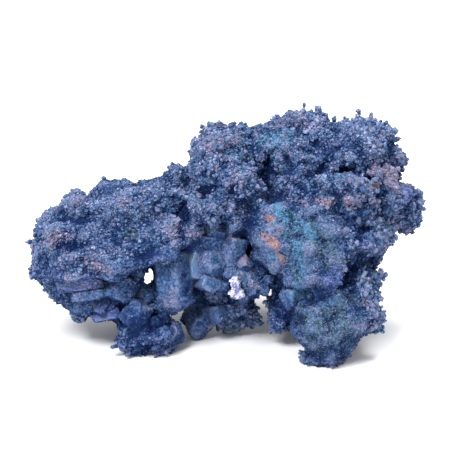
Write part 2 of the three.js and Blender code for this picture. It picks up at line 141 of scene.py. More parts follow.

# Block crystals: form, where in the layout, half sizes, turn in the front view and about their own axis in
# degrees, and how much lighter than the rest they are painted, a part of their painted light.
BLOCK_CRYSTALS = {
    "long prism": ("six-sided prism", (-15.9, -4.7, 28.2), (6.1, 6, 8.4), 8, 12, -0.08),
    "prism cap": ("dodecahedron", (-13.6, -5.4, 20.2), (4.4, 4.6, 3.2), 8, 20, 0.06),
    "prism plate": ("block", (-9.2, -5, 30.2), (2.5, 3.8, 4.8), 4, 12, 0.22),
    "wall block": ("dodecahedron", (-3.9, -5.8, 31.2), (5.5, 5.2, 5.2), 30, 8, 0.04),
    "left wall block": ("block", (-5, -4.8, 25.4), (3.6, 4.6, 3.1), -26, 20, 0.14),
    "cheek block": ("block", (1.9, -4.8, 35), (4.2, 4.8, 5.6), -12, 34, 0.06),
    "tongue wall": ("block", (-6.4, -3.8, 36.6), (6.2, 5, 3.4), -14, 8, -0.1),
    "cheek top": ("dodecahedron", (-1.6, -5, 40), (5.4, 4.6, 3.4), -16, 10, 0.06),
    "small wall block": ("block", (1, -4.6, 28.6), (3, 3.8, 2.5), 34, 10, 0),
    "wall corner": ("dodecahedron", (-0.6, -4, 24.6), (2.8, 3.6, 2.6), 12, 20, -0.1),
    "blue band": ("block", (-43.4, -6.6, 25.4), (7.8, 4.6, 2.9), 5, 6, 0.1),
    "ledge plate": ("block", (-40.4, -6.8, 21.8), (6.3, 4.4, 2), 7, 10, 0),
    "toe block": ("block", (-43, -2.8, 18.4), (3.7, 4.4, 2.6), -6, 18, -0.02),
    "base block": ("block", (-37.4, -2.6, 18.4), (3.1, 4.4, 2.6), -10, 8, 0),
    "ledge block": ("block", (-31.3, -5.4, 23.4), (4.7, 4.8, 4.6), -24, 26, -0.04),
    "under ledge": ("dodecahedron", (-27.6, -2.6, 27.2), (3.8, 5, 3.2), -30, 10, -0.16),
    "violet block": ("block", (-35.4, -1.2, 15.9), (4.9, 4.4, 2), 14, 0, 0.1),
    "foot prism": ("six-sided prism", (-19.2, -2.4, 18.4), (2.8, 3.2, 5.4), 6, 30, -0.06),
    "foot wedge": ("dodecahedron", (-23.9, -2.6, 20.8), (3.2, 3.8, 4.6), 10, 30, -0.06),
    "foot block": ("dodecahedron", (-27.2, -7, 15.8), (4.9, 4.8, 4.8), 10, 0, -0.06),
    "foot facet": ("block", (-21.6, -3.6, 12), (2.9, 3.2, 2.9), 24, 30, -0.1),
    "foot corner": ("dodecahedron", (-15.8, -0.8, 10), (3.5, 4.2, 4.3), -24, 10, -0.12),
    "middle block": ("dodecahedron", (-8.3, 8.2, 14.4), (5.3, 6.4, 5.8), 8, 0, -0.06),
    "middle cube": ("block", (-2.3, 3.4, 16), (2.8, 3.2, 2.9), 14, 30, 0.04),
    "orange nodule": ("dodecahedron", (5.7, -8.8, 31.2), (2.2, 2.8, 2.5), 0, 0, 0.12),
    "belly block": ("dodecahedron", (8.2, -6.8, 22.8), (2.1, 2.8, 2), 20, 10, -0.1),
    "belly corner": ("block", (11.2, -6, 23.2), (1.9, 2.6, 1.7), -14, 20, -0.12),
    "belly grain": ("dodecahedron", (5.6, -6.4, 20.8), (1.7, 2.4, 1.7), 0, 30, -0.1),
    "belly nodule": ("dodecahedron", (12.8, -6.8, 26), (2, 2.6, 1.9), 30, 0, -0.02),
    "left under block": ("block", (20.2, -11.4, 21.4), (3.6, 3.8, 3.2), 14, 30, 0.14),
    "right under block": ("block", (25.6, -10.6, 22), (3, 3.6, 2.8), -10, 12, -0.1),
    "low under block": ("block", (23.6, -10.4, 18.4), (2.2, 3, 1.7), 24, 8, -0.06),
}

# Places that carry only fine grains: where, half sizes and turn.
FINE_PLACES = {
    "broad face": ((23.4, -12, 35.4), (10.2, 9, 11.4), 0),
    "face lobe": ((14.8, -13, 36.4), (7.2, 7.6, 12), -6),
    "knob hollow": ((-44.6, -9, 41.6), (5, 3.6, 2.6), 8),
    "blue band": ((-43.4, -12, 24.6), (8, 6, 2.6), 6),
    "patch underside": ((-29.4, -8, 27.8), (4.6, 8, 2.4), 30),
    "violet base": ((-35.4, 3, 16), (4.2, 8, 3.2), -14),
    "violet bridge": ((-31.5, 3, 18.4), (5.4, 6, 3.4), -38),
    "tongue underside": ((-21, -8, 33), (12, 9, 2), 15),
    "smooth cheek": ((4, -6, 40.4), (3.8, 6, 5.4), 0),
    "block wall": ((-8, -2, 29.6), (13, 7, 7.6), 0),
    "wall under the tongue": ((-10, -4, 36), (6, 7, 3), 0),
    "orange nodule": ((5.6, -9.6, 31.8), (2.4, 4, 2.6), 0),
    "lower lobe": ((30, -14, 14.4), (9.8, 8, 9.2), -38),
    "crest lump": ((-36.4, 4, 55), (2.4, 5, 2), 0),
}

# Places that the finest grains cover all over: where, half sizes and turn.
DUSTY_PLACES = {
    "broad face": ((23.8, -12, 35.4), (10.8, 9, 12), 0),
    "face lobe": ((14.8, -13, 36.4), (8, 9, 13), -6),
    "lower lobe": ((30, -14, 14.4), (10.2, 8, 9.6), -38),
    "prism foot": ((-14.4, -7, 21), (5, 6, 2.6), 8),
}

# Places of the block crystals that stay free of dust: where, half sizes and turn.
CLEAN_PLACES = {
    "long prism": ((-15.9, -4.7, 29), (8, 9, 8), 4),
}

# Places whose creases are filled: where, half sizes and turn, and the creases' half width in mm.
FILLED_PLACES = {
    "slab": ((-28, 0, 41.5), (16, 40, 8.5), 14, 1.8),
    "slab trough": ((-41, 0, 36.5), (10, 30, 6), 8, 3.2),
    "slab middle": ((-26, 0, 40), (10, 30, 8), 14, 3.2),
    "brow": ((26, 0, 45), (17, 40, 9), 0, 3),
    "lower right": ((32, 0, 14), (12, 40, 12), 0, 2),
}

# Where the crust is coarse and branches: where, half sizes and turn.
WILD_PLACES = {
    "left dome": ((-2, 0, 52), (13, 40, 17), 0),
    "peak": ((-6, 4, 66), (9, 20, 8), 0),
    "right dome": ((26, 0, 62), (22, 40, 15), 0),
    "right top": ((44, 0, 60), (14, 40, 22), 0),
    "right flank": ((42, 0, 36), (12, 40, 24), 0),
    "low right": ((34, 4, 8), (14, 30, 10), 0),
    "left foot": ((-22, 0, 6), (10, 20, 8), 0),
    "middle foot": ((6, 4, 12), (9, 20, 9), 0),
    "left end": ((-58, 4, 34), (6, 20, 12), 0),
}

# Rods and knobs that stand up from the outline: across, lean to the right in degrees, length, radius.
SPRIGS = [
    (41.6, -14, 3, 0.6), (44.2, 8, 1.6, 0.65), (48.8, 22, 2.4, 0.75), (32.4, -4, 1.9, 0.6),
    (23.5, 6, 2.2, 0.6), (20.6, -4, 1, 0.6), (-2.2, 4, 1.1, 0.7), (0.8, 12, 1.2, 0.7),
    (-5.6, -28, 1.4, 0.7), (4.4, 10, 1, 0.65), (6.6, 20, 0.9, 0.6), (36.4, 10, 1.4, 0.5),
    (51.6, 34, 1.8, 0.8), (27.8, 4, 1.5, 0.6), (-37.2, -10, 1.2, 0.8),
]

# Stains of the tarnish, seen from the front: across, up, half width, half height, turn, strength. The last
# list holds no stain but painted shade.
STAINS = {
    "turquoise": [
        (17.9, 45.4, 4, 1.9, -30, 1.1), (21.8, 43, 4.6, 2.4, -44, 1.2), (17.4, 40.4, 5.4, 1.5, -42, 0.9),
        (20.8, 35.6, 2.6, 5, 10, 0.95), (20, 30.6, 4.4, 2.6, -40, 0.75), (13.4, 33.6, 3, 1.6, -36, 0.6),
        (15.5, 67.5, 6.5, 3, 0, 0.75), (-32.9, 28.8, 4, 4, 0, 0.4), (3, 63, 4.4, 4.4, 0, 0.4),
        (19.4, 22, 4, 3.4, 0, 0.55), (-9.6, 30.6, 2.2, 4.6, 8, 0.6), (-5.4, 26, 3.4, 3, 0, 0.4),
        (-22.4, 20, 3, 5, 0, 0.3), (5, 40.6, 2.6, 5, 0, 0.25), (28.4, 40, 4, 6, 0, 0.3),
        (-41, 44, 3, 2, 0, 0.25), (26, 31, 5, 3, 0, 0.3), (34, 57, 5, 4, 0, 0.3),
        (-26, 42, 6, 3, 10, 0.25),
    ],
    "orange": [
        (13.2, 44.6, 1.7, 1.2, 0, 1.2), (13, 38, 3.6, 1.1, -36, 1.2), (16.4, 32.8, 2.4, 1.2, -50, 1.1),
        (5.6, 32.2, 1.8, 2.2, 0, 0.6), (28.9, 49.4, 3.4, 1.2, 0, 0.8), (36.4, 48.6, 3.4, 1.2, -6, 0.5),
        (49.4, 58.6, 3, 1.6, -16, 0.35), (44.3, 54.2, 2.4, 1.5, 10, 1.2), (-49.8, 39.4, 2.4, 1.2, 0, 0.4),
        (-11.6, 54.9, 1.2, 1, 0, 0.4), (-13.4, 36.2, 2, 1, 14, 0.4), (-45.8, 26.8, 2.2, 1.6, 0, 0.3),
        (21, 44.6, 1.4, 1, 0, 0.5), (40.3, 19.2, 1.6, 1.4, 0, 0.4), (27, 3, 1.6, 1.2, 0, 0.4),
    ],
    "pink": [
        (-48, 39, 6.4, 2.6, 4, 0.9), (-39, 30.8, 6.4, 2.2, -26, 1), (-45.8, 27, 2.8, 2, 0, 0.7),
        (-29.8, 49.5, 4, 2, 8, 0.7), (-12.7, 40.4, 6.4, 2, -10, 0.8), (-44.5, 50, 2.6, 2, 0, 0.5),
        (-3, 66.6, 8, 2.4, 6, 0.6), (21, 73, 10, 3.2, 0, 0.5), (16.3, 41.1, 2.2, 1.8, 0, 0.9),
        (40.3, 19.2, 2.4, 2, 0, 0.7), (2.3, 38.4, 2.2, 1.8, 0, 0.5), (24, 49.6, 5.4, 2, 0, 1),
        (38, 49, 6, 2, -4, 0.8), (-20, 47, 4, 3, 10, 0.4), (47, 58, 7, 3, -24, 0.95),
        (3.6, 47.4, 3, 2.4, 0, 0.5), (-47, 46, 3, 2, 0, 0.3), (34, 44, 3.6, 3, 0, 0.4),
        (12, 50.4, 3, 1.6, 0, 0.6),
    ],
    "green": [
        (-27.7, 40.5, 4.4, 3.2, 10, 0.7), (28.4, 37, 3.4, 5, 0, 0.5), (29, 14.4, 10.2, 9.6, -38, 0.75),
        (26, 36, 9, 10, 0, 0.6), (34, 20.4, 6, 3.6, 20, 0.6), (41.9, 27.6, 3.6, 4, 0, 0.5),
        (9, 36.4, 2, 5, 0, 0.5), (2, 42, 3, 3, 0, 0.3), (40, 63, 4, 3, 0, 0.2),
        (-20, 25.6, 1.6, 4, 0, 0.4),
    ],
    "violet": [
        (-35.6, 16.2, 4.4, 3, -10, 0.8), (-20.6, 27, 2, 7, 8, 0.5), (-42, 25, 8, 2.4, 5, 0.6),
        (53.9, 51.6, 3, 5, 0, 0.6), (-56, 33.6, 3, 5, 0, 0.25), (30, 26.4, 5.4, 3.4, 0, 0.5),
        (26, 32, 5, 5, 0, 0.35), (-52, 44, 3, 3, 0, 0.25), (-36, 50, 5, 3, 0, 0.3), (28, 66, 8, 6, 0, 0.3),
        (6, 42, 4, 5, 0, 0.4),
    ],
    # Painted shade, no stain: darker where overhangs, hollows and the floor shelter the cluster.
    "gloom": [
        (-46.7, 36.2, 6.4, 1.4, 4, 0.8), (-44.4, 42, 4, 1.8, 6, 0.5), (-8.3, 15.6, 6.4, 8, 0, 0.85),
        (0.5, 15.6, 7.4, 6, 0, 0.75), (17.6, 16.5, 5.4, 8, 0, 0.9), (41.9, 35, 5, 10, 10, 0.55),
        (29, 3.6, 8, 4.6, 0, 0.7), (-24.6, 10, 10.6, 6.6, 0, 1), (-27, 15.8, 6, 5, 0, 0.5),
        (-21, 32.8, 12, 1.6, 15, 0.6), (7, 39, 1.8, 6, 0, 0.8), (-11.6, 45.6, 2.2, 6, 0, 0.8),
        (12.4, 58.6, 2.6, 5.6, 0, 0.5), (-52, 27, 5, 5, -30, 0.8), (36, 26, 4, 5, 0, 0.5),
        (56, 47, 4, 8, 0, 0.5), (9, 14, 4, 5, 0, 0.6), (-4, 30, 10, 7, 0, 0.2),
        (24, 19.6, 8, 1.6, 14, 0.8), (-4, 38.6, 9, 1.6, 0, 0.5),
    ],
}
MASK_NAMES = ("exposure", *STAINS)

# Hollows in the crust, seen from the front: across, up, half width, half height, turn, depth in mm.
HOLLOWS = [
    (12.6, 59, 2.2, 6, -6, 0.6), (24.6, 64.6, 3.4, 1.4, -30, 1.8), (22, 69.4, 3, 1.5, 10, 1.4),
    (29.6, 59.4, 1.5, 3, -24, 1), (37.2, 58.8, 1.4, 2.4, 10, 1), (31.6, 54.8, 1.5, 2, 0, 1.8),
    (33.6, 65.6, 3, 1.3, 24, 1.6), (17.4, 63.2, 2.8, 1.1, -34, 1.6), (43, 62.6, 1.3, 2.6, 30, 1.6),
    (-46.8, 36.4, 6.6, 1.3, 4, 1), (-41.8, 37, 2.4, 1.6, 0, 0.9), (-11.8, 46.4, 1.4, 6, 4, 1.2),
    (-26.4, 54.4, 1.4, 1.6, 0, 1), (-3.4, 56.6, 1.4, 2.4, 20, 1.6), (2.4, 52.4, 1.2, 2.4, -20, 1.5),
    (-6.4, 52, 2, 1.2, 0, 1.6), (2, 66, 1.6, 1.2, 0, 1.5), (40.6, 41.8, 4.4, 1.7, -10, 1.6),
    (38.6, 33, 1.3, 4, -10, 1.4), (31, 22.8, 10, 0.8, 27, 1.4), (-17, 57, 1.6, 1.4, 0, 1),
    (46.6, 50.4, 2.6, 1.1, 24, 1.6), (51.4, 56, 1, 2.2, 0, 1.4), (26.6, 55, 1.2, 1.8, 20, 1.6),
]

# Mounds that stand out towards the front: across, up, half width, half height, turn, height in mm.
MOUNDS = [
    (29, 42.4, 9.5, 5.4, -6, 4.4), (24.4, 34, 4.6, 10, 0, 2.8), (31, 35, 6, 6, 0, 1.6),
    (36, 47.6, 4.6, 3.4, 0, 2.8), (40.6, 43.5, 4, 5, 0, 2.2), (35.9, 60.6, 3, 2.6, 0, 2.2),
    (29.6, 14.4, 9, 7.8, -38, 3.2), (12.2, 58.6, 2.6, 5, -6, 3.4), (14.4, 61, 1.8, 3, 0, 4),
    (-45, 25.4, 8, 2.4, 6, 1.6),
]

# Where the surface is drawn sideways or up: across, up, half width, half height, then by how far, in mm.
PULLS = [
    (49, 20, 7, 14, -2.2, 0), (43, 7, 8, 5, -1, 2.4), (-51, 51.6, 3.6, 4.2, 0.8, -3.8),
    (-11.2, 62, 3, 4, 1, -2.4), (16.7, 77, 3, 3, 0, -2), (54.5, 57, 4, 4, -1.4, -1.6),
    (-34.5, 9, 4, 6, 2.2, 0), (38.6, 76, 3.4, 3, 0.6, 1.2), (-34.6, 57, 3, 3.4, -1.2, 0),
    (-27.6, 57, 3.2, 4, 0, -1.3), (-45.4, 54, 3, 3, 0, 0.6), (-8.6, 68, 3, 3, -1.4, 0.6),
]

# Painted light and shade: where the tarnish is painted lighter or darker than the form makes it, lifting
# places that lie in shadow and darkening pits: across, up, half width, half height, turn and by how much.
PAINTED_LIGHT_SPOTS = [
    (-35, 47, 15, 6, 14, 0.17), (-19.7, 43.5, 10, 6, 14, 0.14), (-41, 30, 12, 6, 0, 0.04),
    (18.6, 40, 8, 9, 0, 0.1), (28.6, 38, 8, 9, 0, 0.24), (-4, 15, 13, 8, 0, 0.42),
    (47, 43, 7, 10, 0, 0.38), (-5, 29.6, 11, 8, 0, 0.08), (29.4, 14.4, 8.6, 8, -38, -0.15),
    (-27, 15.8, 6, 5, 0, 0.1), (-24, 9, 10, 5.6, 0, -0.12), (-42, 25.6, 8, 2.6, 5, 0.12),
    (-9, 30.6, 2.4, 4.8, 4, 0.25), (22, 73, 9, 4, 0, 0.16), (1.4, 37, 4, 4, 0, 0.15),
    (4.6, 31.6, 2.6, 2.6, 0, 0.1), (31, 24.4, 9, 1, 27, -0.35), (37, 31, 2, 7, 8, -0.3),
    (22, 18, 2, 5, -50, -0.3), (-43.4, 42.6, 4, 2, 6, -0.2), (-8, 22, 3, 1.4, 0, -0.25),
    (-21.4, 29.4, 1.6, 6, 8, -0.3), (19, 12, 3.4, 6, 0, -0.2), (-12, 36, 3, 1.6, 20, -0.2),
    (6.6, 37, 1.4, 5, 10, -0.3), (41, 40.6, 2.8, 2.2, 0, -0.35), (48.6, 50.6, 2, 3, 10, -0.3),
    (30.4, 54, 1.5, 2.4, 0, -0.35), (27.2, 60.6, 2.4, 1.5, -20, -0.35), (12.6, 58.6, 1.8, 3.6, -6, -0.3),
    (-1, 65.7, 1.6, 1.2, 0, -0.3), (1, 57, 1.6, 1.6, 0, -0.3), (-6, 53, 1.6, 2, 0, -0.3),
    (4, 50.4, 1.6, 2, 0, -0.3), (-12, 46, 1.4, 4.6, 0, -0.3), (33.4, 64.6, 2, 1.4, 0, -0.3),
    (19.6, 57.6, 1.4, 2, 20, -0.3), (-46, 35.8, 3, 1.2, 6, -0.3), (-26, 52, 1.4, 1.8, 0, -0.25),
    (42.4, 33, 1.6, 3, 10, -0.3), (9, 52, 1.4, 3, 0, -0.25), (-22, 40, 2, 1.2, 10, -0.2),
]


def to_layout(points):
    """Points of the frame in metres to the layout in mm."""
    return (points / MM - LAYOUT_ORIGIN) @ LAYOUT_AXES.T


def to_frame(points, floor=None):
    """Points of the layout in mm to the frame in metres, raised to the height `floor` if there is one."""
    metres = (np.asarray(points, float) @ LAYOUT_AXES + LAYOUT_ORIGIN) * MM
    if floor is not None:
        metres[:, 2] = np.maximum(metres[:, 2], floor)
    return metres


def ramp(values, low, high):
    """0 at low, 1 at high, and smooth between them: t * t * (3 - 2 * t)."""
    share = np.clip((values - low) / (high - low), 0, 1)
    return share * share * (3 - 2 * share)


def faded(values, near, far):
    """1 up to near, 0 from far on, and smooth between them."""
    return ramp(-values, -far, -near)


def unit(vectors):
    """The vectors at length 1."""
    return vectors / np.maximum(np.linalg.norm(vectors, axis=1, keepdims=True), 1e-12)


def hashed(cells, seed):
    """Rows of three whole numbers, each to a number from 0 to 1 that looks random."""
    rows = np.asarray(cells, np.int64).astype(np.uint32) * HASH_FACTORS
    value = rows[..., 0] ^ rows[..., 1] ^ rows[..., 2] ^ np.uint32(seed * HASH_SEED % 2**32)
    for shift, factor in HASH_ROUNDS:
        value = (value ^ (value >> np.uint32(shift))) * np.uint32(factor)
    return (value ^ (value >> np.uint32(16))) / 2**32


def noise(points, size, seed):
    """Smooth noise from -1 to 1: random values at the corners of cells of `size`, blended between them."""
    low = np.floor(points / size)
    share = points / size - low
    share = share**3 * (share * (share * 6 - 15) + 10)
    total = np.zeros(len(points))
    for corner in np.ndindex(2, 2, 2):
        total += np.where(corner, share, 1 - share).prod(axis=1) * hashed(low + corner, seed)
    return total * 2 - 1


def rough(points, size, seed, octaves=3):
    """Noise of `size` with finer noise on it, each octave half as long and half as high."""
    return sum(noise(points, size / 2**k, seed + k) / 2**k for k in range(octaves))


def buds(points, size, seed):
    """Cells of `size` round one random spot each: how far a point is from the nearest spot, in cells, and a
    random number of that spot's own."""
    low = np.floor(points / size)
    nearest = np.full(len(points), 9.0)
    owner = np.zeros(len(points))
    for step in np.ndindex(3, 3, 3):
        cell = low + step - 1
        spot = cell + 0.1 + 0.8 * np.stack([hashed(cell, seed + k) for k in range(3)], axis=1)
        far = np.linalg.norm(points / size - spot, axis=1)
        owner = np.where(far < nearest, hashed(cell, seed + 3), owner)
        nearest = np.minimum(nearest, far)
    return nearest, owner


def humps(points, size, seed, width, sunk):
    """Round humps in cells of `size`: sqrt(1 - (r / width)^2) - sunk, r cells from the nearest spot."""
    return np.sqrt(np.clip(1 - (buds(points, size, seed)[0] / width) ** 2, 0, 1)) - sunk


def turned(points, centre, degrees):
    """Points of the layout round a centre, turned back by an angle of the front view."""
    angle = math.radians(degrees)
    local = points - np.array(centre)
    across = local[:, 0] * math.cos(angle) + local[:, 2] * math.sin(angle)
    up = local[:, 2] * math.cos(angle) - local[:, 0] * math.sin(angle)
    return np.stack([across, local[:, 1], up], axis=1)


def inside(points, zones, squareness, soft):
    """How far inside any of the zones points lie, from 0 to 1. A zone is |x|^s + |y|^s + |z|^s < 1 in its
    own half sizes, and fades over `soft` of them outside."""
    most = np.zeros(len(points))
    for centre, half, turn in zones:
        local = np.abs(turned(points, centre, turn) / half)
        reach = (local**squareness).sum(axis=1) ** (1 / squareness)
        most = np.maximum(most, faded(reach, 1, 1 + soft))
    return most


def spot_values(points, spots, ragged, near, far):
    """What each ellipse of the front view gives at points of the layout: its own amount up to `near` of
    its half sizes, fading to nothing at `far`, with `ragged` added to how far out the points lie."""
    for across, up, wide, high, turn, amount in spots:
        local = turned(points, (across, 0, up), turn) / (wide, 1, high)
        yield amount * faded(np.hypot(local[:, 0], local[:, 2]) + ragged, near, far)


def stain(points, spots, seed):
    """How strongly the spots of one stain colour the points: ragged ellipses on what faces the viewer, and
    fainter spots of noise on the back."""
    most = reduce(np.maximum, spot_values(points, spots, 0.55 * rough(points, 3.6, seed, 4), 0.55, 1.25))
    front = faded(points[:, 1], 2, 8)
    behind = ramp(rough(points, 11.0, seed + 11), 0.42, 0.9)
    return most * front + 0.7 * behind * (1 - front)


def painted_light_spots_of(points):
    """What the painted light and shade spots add to the painted light at points of the layout that face the
    viewer.
    """
    ragged = 0.4 * rough(points, *NOISES["shade edges"])
    return sum(spot_values(points, PAINTED_LIGHT_SPOTS, ragged, 0.5, 1.3)) * faded(points[:, 1], 4, 12)


def spot_heights(points, spots, uneven):
    """How far mounds or hollows reach at points of the layout that face the viewer, in mm."""
    ragged = uneven * rough(points, *NOISES["spot edges"])
    return reduce(np.maximum, spot_values(points, spots, ragged, 0.2, 1.3)) * faded(points[:, 1], 0, 6)


def pulled(points):
    """Points of the layout drawn across and up by each pull's share (1 - r^2)^2, with r from its middle."""
    moved = points.copy()
    for across, up, wide, high, sideways, upwards in PULLS:
        away = np.minimum(((points[:, 0] - across) / wide) ** 2 + ((points[:, 2] - up) / high) ** 2, 1)
        moved[:, 0] += sideways * (1 - away) ** 2
        moved[:, 2] += upwards * (1 - away) ** 2
    return moved


def flat_share(layout):
    """How far points lie in the block crystals, from 0 to 1."""
    return inside(layout, [(at, half, turn) for _, at, half, turn, _, _ in BLOCK_CRYSTALS.values()], 4, 0.2)


def fine_share(layout):
    """How far points lie where the crust is fine, from 0 to 1."""
    return inside(layout, FINE_PLACES.values(), 3, 0.35)


def wild_share(layout):
    """How far points lie where the crust is coarse and branches, from 0 to 1."""
    return inside(layout, WILD_PLACES.values(), 2, 0.5)


def dusty_share(layout):
    """How far points lie where the finest grains cover all, from 0 to 1."""
    return inside(layout, DUSTY_PLACES.values(), 3, 0.25)


def triangles_of(mesh):
    """A mesh's corners in metres and its triangles."""
    mesh.calc_loop_triangles()
    points = np.zeros(len(mesh.vertices) * 3)
    mesh.vertices.foreach_get("co", points)
    faces = np.zeros(len(mesh.loop_triangles) * 3, np.int32)
    mesh.loop_triangles.foreach_get("vertices", faces)
    return points.reshape(-1, 3), faces.reshape(-1, 3)


def stacked(parts):
    """Several surfaces, each its points and its faces, as one surface's points and faces."""
    starts = np.cumsum([0] + [len(points) for points, _ in parts])
    return (np.concatenate([points for points, _ in parts]),
            np.concatenate([faces + start for (_, faces), start in zip(parts, starts)]))


def solid_of(name):
    """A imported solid's corners in metres, each once, and its triangles."""
    points, faces = triangles_of(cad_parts[name].data)
    unique, index = np.unique(np.round(points / MM, 4), axis=0, return_inverse=True)
    faces = index.reshape(-1)[faces]
    return unique * MM, faces[(faces != np.roll(faces, 1, axis=1)).all(axis=1)]


def new_mesh(name, points, faces, smooth):
    """A mesh of points in metres and faces with the same number of corners each."""
    mesh = bpy.data.meshes.new(name)
    count, corners = faces.shape
    mesh.vertices.add(len(points))
    mesh.vertices.foreach_set("co", np.ascontiguousarray(points, np.float32).ravel())
    mesh.loops.add(count * corners)
    mesh.loops.foreach_set("vertex_index", faces.astype(np.int32).ravel())
    mesh.polygons.add(count)
    mesh.polygons.foreach_set("loop_start", np.arange(count, dtype=np.int32) * corners)
    mesh.polygons.foreach_set("use_smooth", np.full(count, smooth))
    mesh.update(calc_edges=True)
    return mesh


def new_object(name, data):
    """An object at the origin that holds a mesh, light or camera."""
    made = bpy.data.objects.new(name, data)
    bpy.context.scene.collection.objects.link(made)
    return made


def with_modifier(points, faces, kind, **settings):
    """The triangles of a mesh after one modifier."""
    made = new_object("draft", new_mesh("draft", points, faces, False))
    modifier = made.modifiers.new("step", kind)
    for setting, value in settings.items():
        setattr(modifier, setting, value)
    evaluated = made.evaluated_get(bpy.context.evaluated_depsgraph_get())
    result = triangles_of(evaluated.to_mesh())
    evaluated.to_mesh_clear()
    bpy.data.meshes.remove(made.data)  # and the object that holds it
    return result


def remeshed(points, faces, voxel):
    """The surface made again from voxels, closed and even."""
    return with_modifier(points, faces, "REMESH", mode="VOXEL", voxel_size=voxel)


def thinned(points, faces, most):
    """The surface with fewer triangles where it is flattest."""
    if len(faces) <= most:
        return points, faces
    return with_modifier(points, faces, "DECIMATE", ratio=most / len(faces), use_collapse_triangulate=True)


def summed(index, values, count):
    """The sum of the rows of values that share an index."""
    return np.stack([np.bincount(index, column, count) for column in values.T], axis=1)


def normals_of(points, faces):
    """The corners' normals: the sum of the normals of the faces round each, by their areas."""
    a, b, c = (points[faces[:, k]] for k in range(3))
    return unit(summed(faces.ravel(), np.repeat(np.cross(b - a, c - a), 3, axis=0), len(points)))


def eased(points, faces, rounds, share):
    """Each corner drawn towards the mean of its neighbours, `rounds` times, by a share that may differ
    from corner to corner."""
    ends = np.concatenate([faces[:, [0, 1]], faces[:, [1, 2]], faces[:, [2, 0]]])
    ends = np.concatenate([ends, ends[:, ::-1]])
    count = np.bincount(ends[:, 0], minlength=len(points))[:, None]
    share = np.broadcast_to(np.asarray(share, float).reshape(-1, 1), (len(points), 1))
    for _ in range(rounds):
        mean = summed(ends[:, 0], points[ends[:, 1]], len(points)) / count
        points = points + share * (mean - points)
    return points


def standing_proud(points, faces, rounds):
    """How far each corner stands out of the surface when that is eased, along its normal."""
    soft = eased(points, faces, rounds, 1.0)
    return np.einsum("ij,ij->i", points - soft, normals_of(soft, faces))


def filled_solid(voxel):
    """The copper solid in the layout, remade from voxels. Filled places move out along their normals and
    back again, with a remesh after each, which closes creases narrower than twice the way."""
    points, faces = remeshed(*solid_of(COPPER_NODE), voxel)
    for outwards in (1, -1):
        layout = to_layout(points)
        widths = [width * inside(layout, [place], 4, 0.3) for *place, width in FILLED_PLACES.values()]
        filled = np.max(widths, axis=0) * (1 - flat_share(layout))
        layout = layout + outwards * filled[:, None] * normals_of(layout, faces)
        points, faces = remeshed(to_frame(layout), faces, voxel)
    return to_layout(points), faces


def skin_surface(sizes):
    """The cluster's surface in the layout: its points and triangles.

    The filled solid is eased where it isn't flat. It moves along its normals by swell * noise + the sum of
    height * hump - hollow, with the humps of buds and of clumps of them, and towards the viewer by the
    mounds. Remade from voxels, it is roughened by grit * (1 / 2 - r) with r from the middle of small cells,
    and drawn by the pulls."""
    layout, faces = filled_solid(sizes.voxel)
    flat, fine, wild = flat_share(layout), fine_share(layout), wild_share(layout)
    layout = eased(layout, faces, 26, 0.6 * (1 - 0.96 * flat) * (1 - 0.85 * fine) * (1 - 0.5 * wild))

    facing = normals_of(eased(layout, faces, 4, 0.8), faces)
    plain = np.maximum(flat, fine)
    swell = sizes.swell / MM * rough(layout, *NOISES["swell"]) * (1 - flat) * (1 - 0.6 * fine)
    bud = humps(layout + 0.5 * facing, sizes.bud / MM, *HUMPS["buds"])
    clump = humps(layout, sizes.clump / MM, *HUMPS["clumps"])
    grown = sizes.bud_height / MM * (0.6 + 0.4 * wild) * bud + sizes.clump_height / MM * wild * clump
    jagged = 0.4 * rough(layout, *NOISES["jags"]) * (1 - plain)
    hollows = (1 - flat) * spot_heights(layout, HOLLOWS, 0.35)
    layout = layout + facing * (swell + jagged + (1 - plain) * grown - hollows - 0.3 * flat)[:, None]
    layout[:, 1] -= spot_heights(layout, MOUNDS, 0.1) * faded(facing[:, 1], -0.3, 0) * (1 - flat)

    points, faces = remeshed(to_frame(layout), faces, sizes.voxel)
    layout = to_layout(points)
    flat, fine = flat_share(layout), fine_share(layout)
    layout = eased(layout, faces, 2, 0.5 * (1 - 0.8 * flat))
    nearest, _ = buds(layout, sizes.grit / MM, SEEDS["grit"])
    grit = sizes.grit_height / MM * (0.5 - nearest) * (1 - flat) * (1 - 0.4 * fine)
    grain = 0.16 * rough(layout, *NOISES["grain"]) * np.maximum(flat, fine)
    layout = layout + normals_of(layout, faces) * (grit + grain)[:, None]
    points, faces = thinned(to_frame(pulled(layout), 0), faces, sizes.skin_triangles)
    return to_layout(points), faces


def colour_masks(layout, facing, exposure):
    """The values that colour the copper at points of the layout: painted light with wear, the stains, and
    painted shade, which undersides have too."""
    masks = {name: stain(layout, spots, FIRST_STAIN_SEED + STAIN_SEED_STEP * k)
             for k, (name, spots) in enumerate(STAINS.items())}
    # Painted shade: undersides are darker the more they face down.
    masks["gloom"] = np.maximum(masks["gloom"], 0.75 * faded((facing @ LAYOUT_AXES)[:, 2], -0.8, 0.1))
    return masks | {"exposure": exposure + painted_light_spots_of(layout)}


def set_values(mesh, masks):
    """Each mask as a float attribute of the mesh's points."""
    for name, values in masks.items():
        attribute = mesh.attributes.new(name, "FLOAT", "POINT")
        attribute.data.foreach_set("value", np.ascontiguousarray(values, np.float32))


def values_of(mesh, name):
    """A float attribute of a mesh's points."""
    values = np.zeros(len(mesh.vertices), np.float32)
    mesh.attributes[name].data.foreach_get("value", values)
    return values


def painted_light_of(layout, faces):
    """From 0, painted shade deep in a crevice, to 1, painted highlights on the highest tips, which the
    tarnish also reads as wear: a level surface's value + the sum of share * how proud the surface stands,
    at the scales of a grain, a bud and a lump."""
    proud = (share * standing_proud(layout, faces, rounds) for rounds, share in PAINTED_LIGHT_SHARES)
    return np.clip(sum(proud, LEVEL_PAINTED_LIGHT), 0, 1.1)


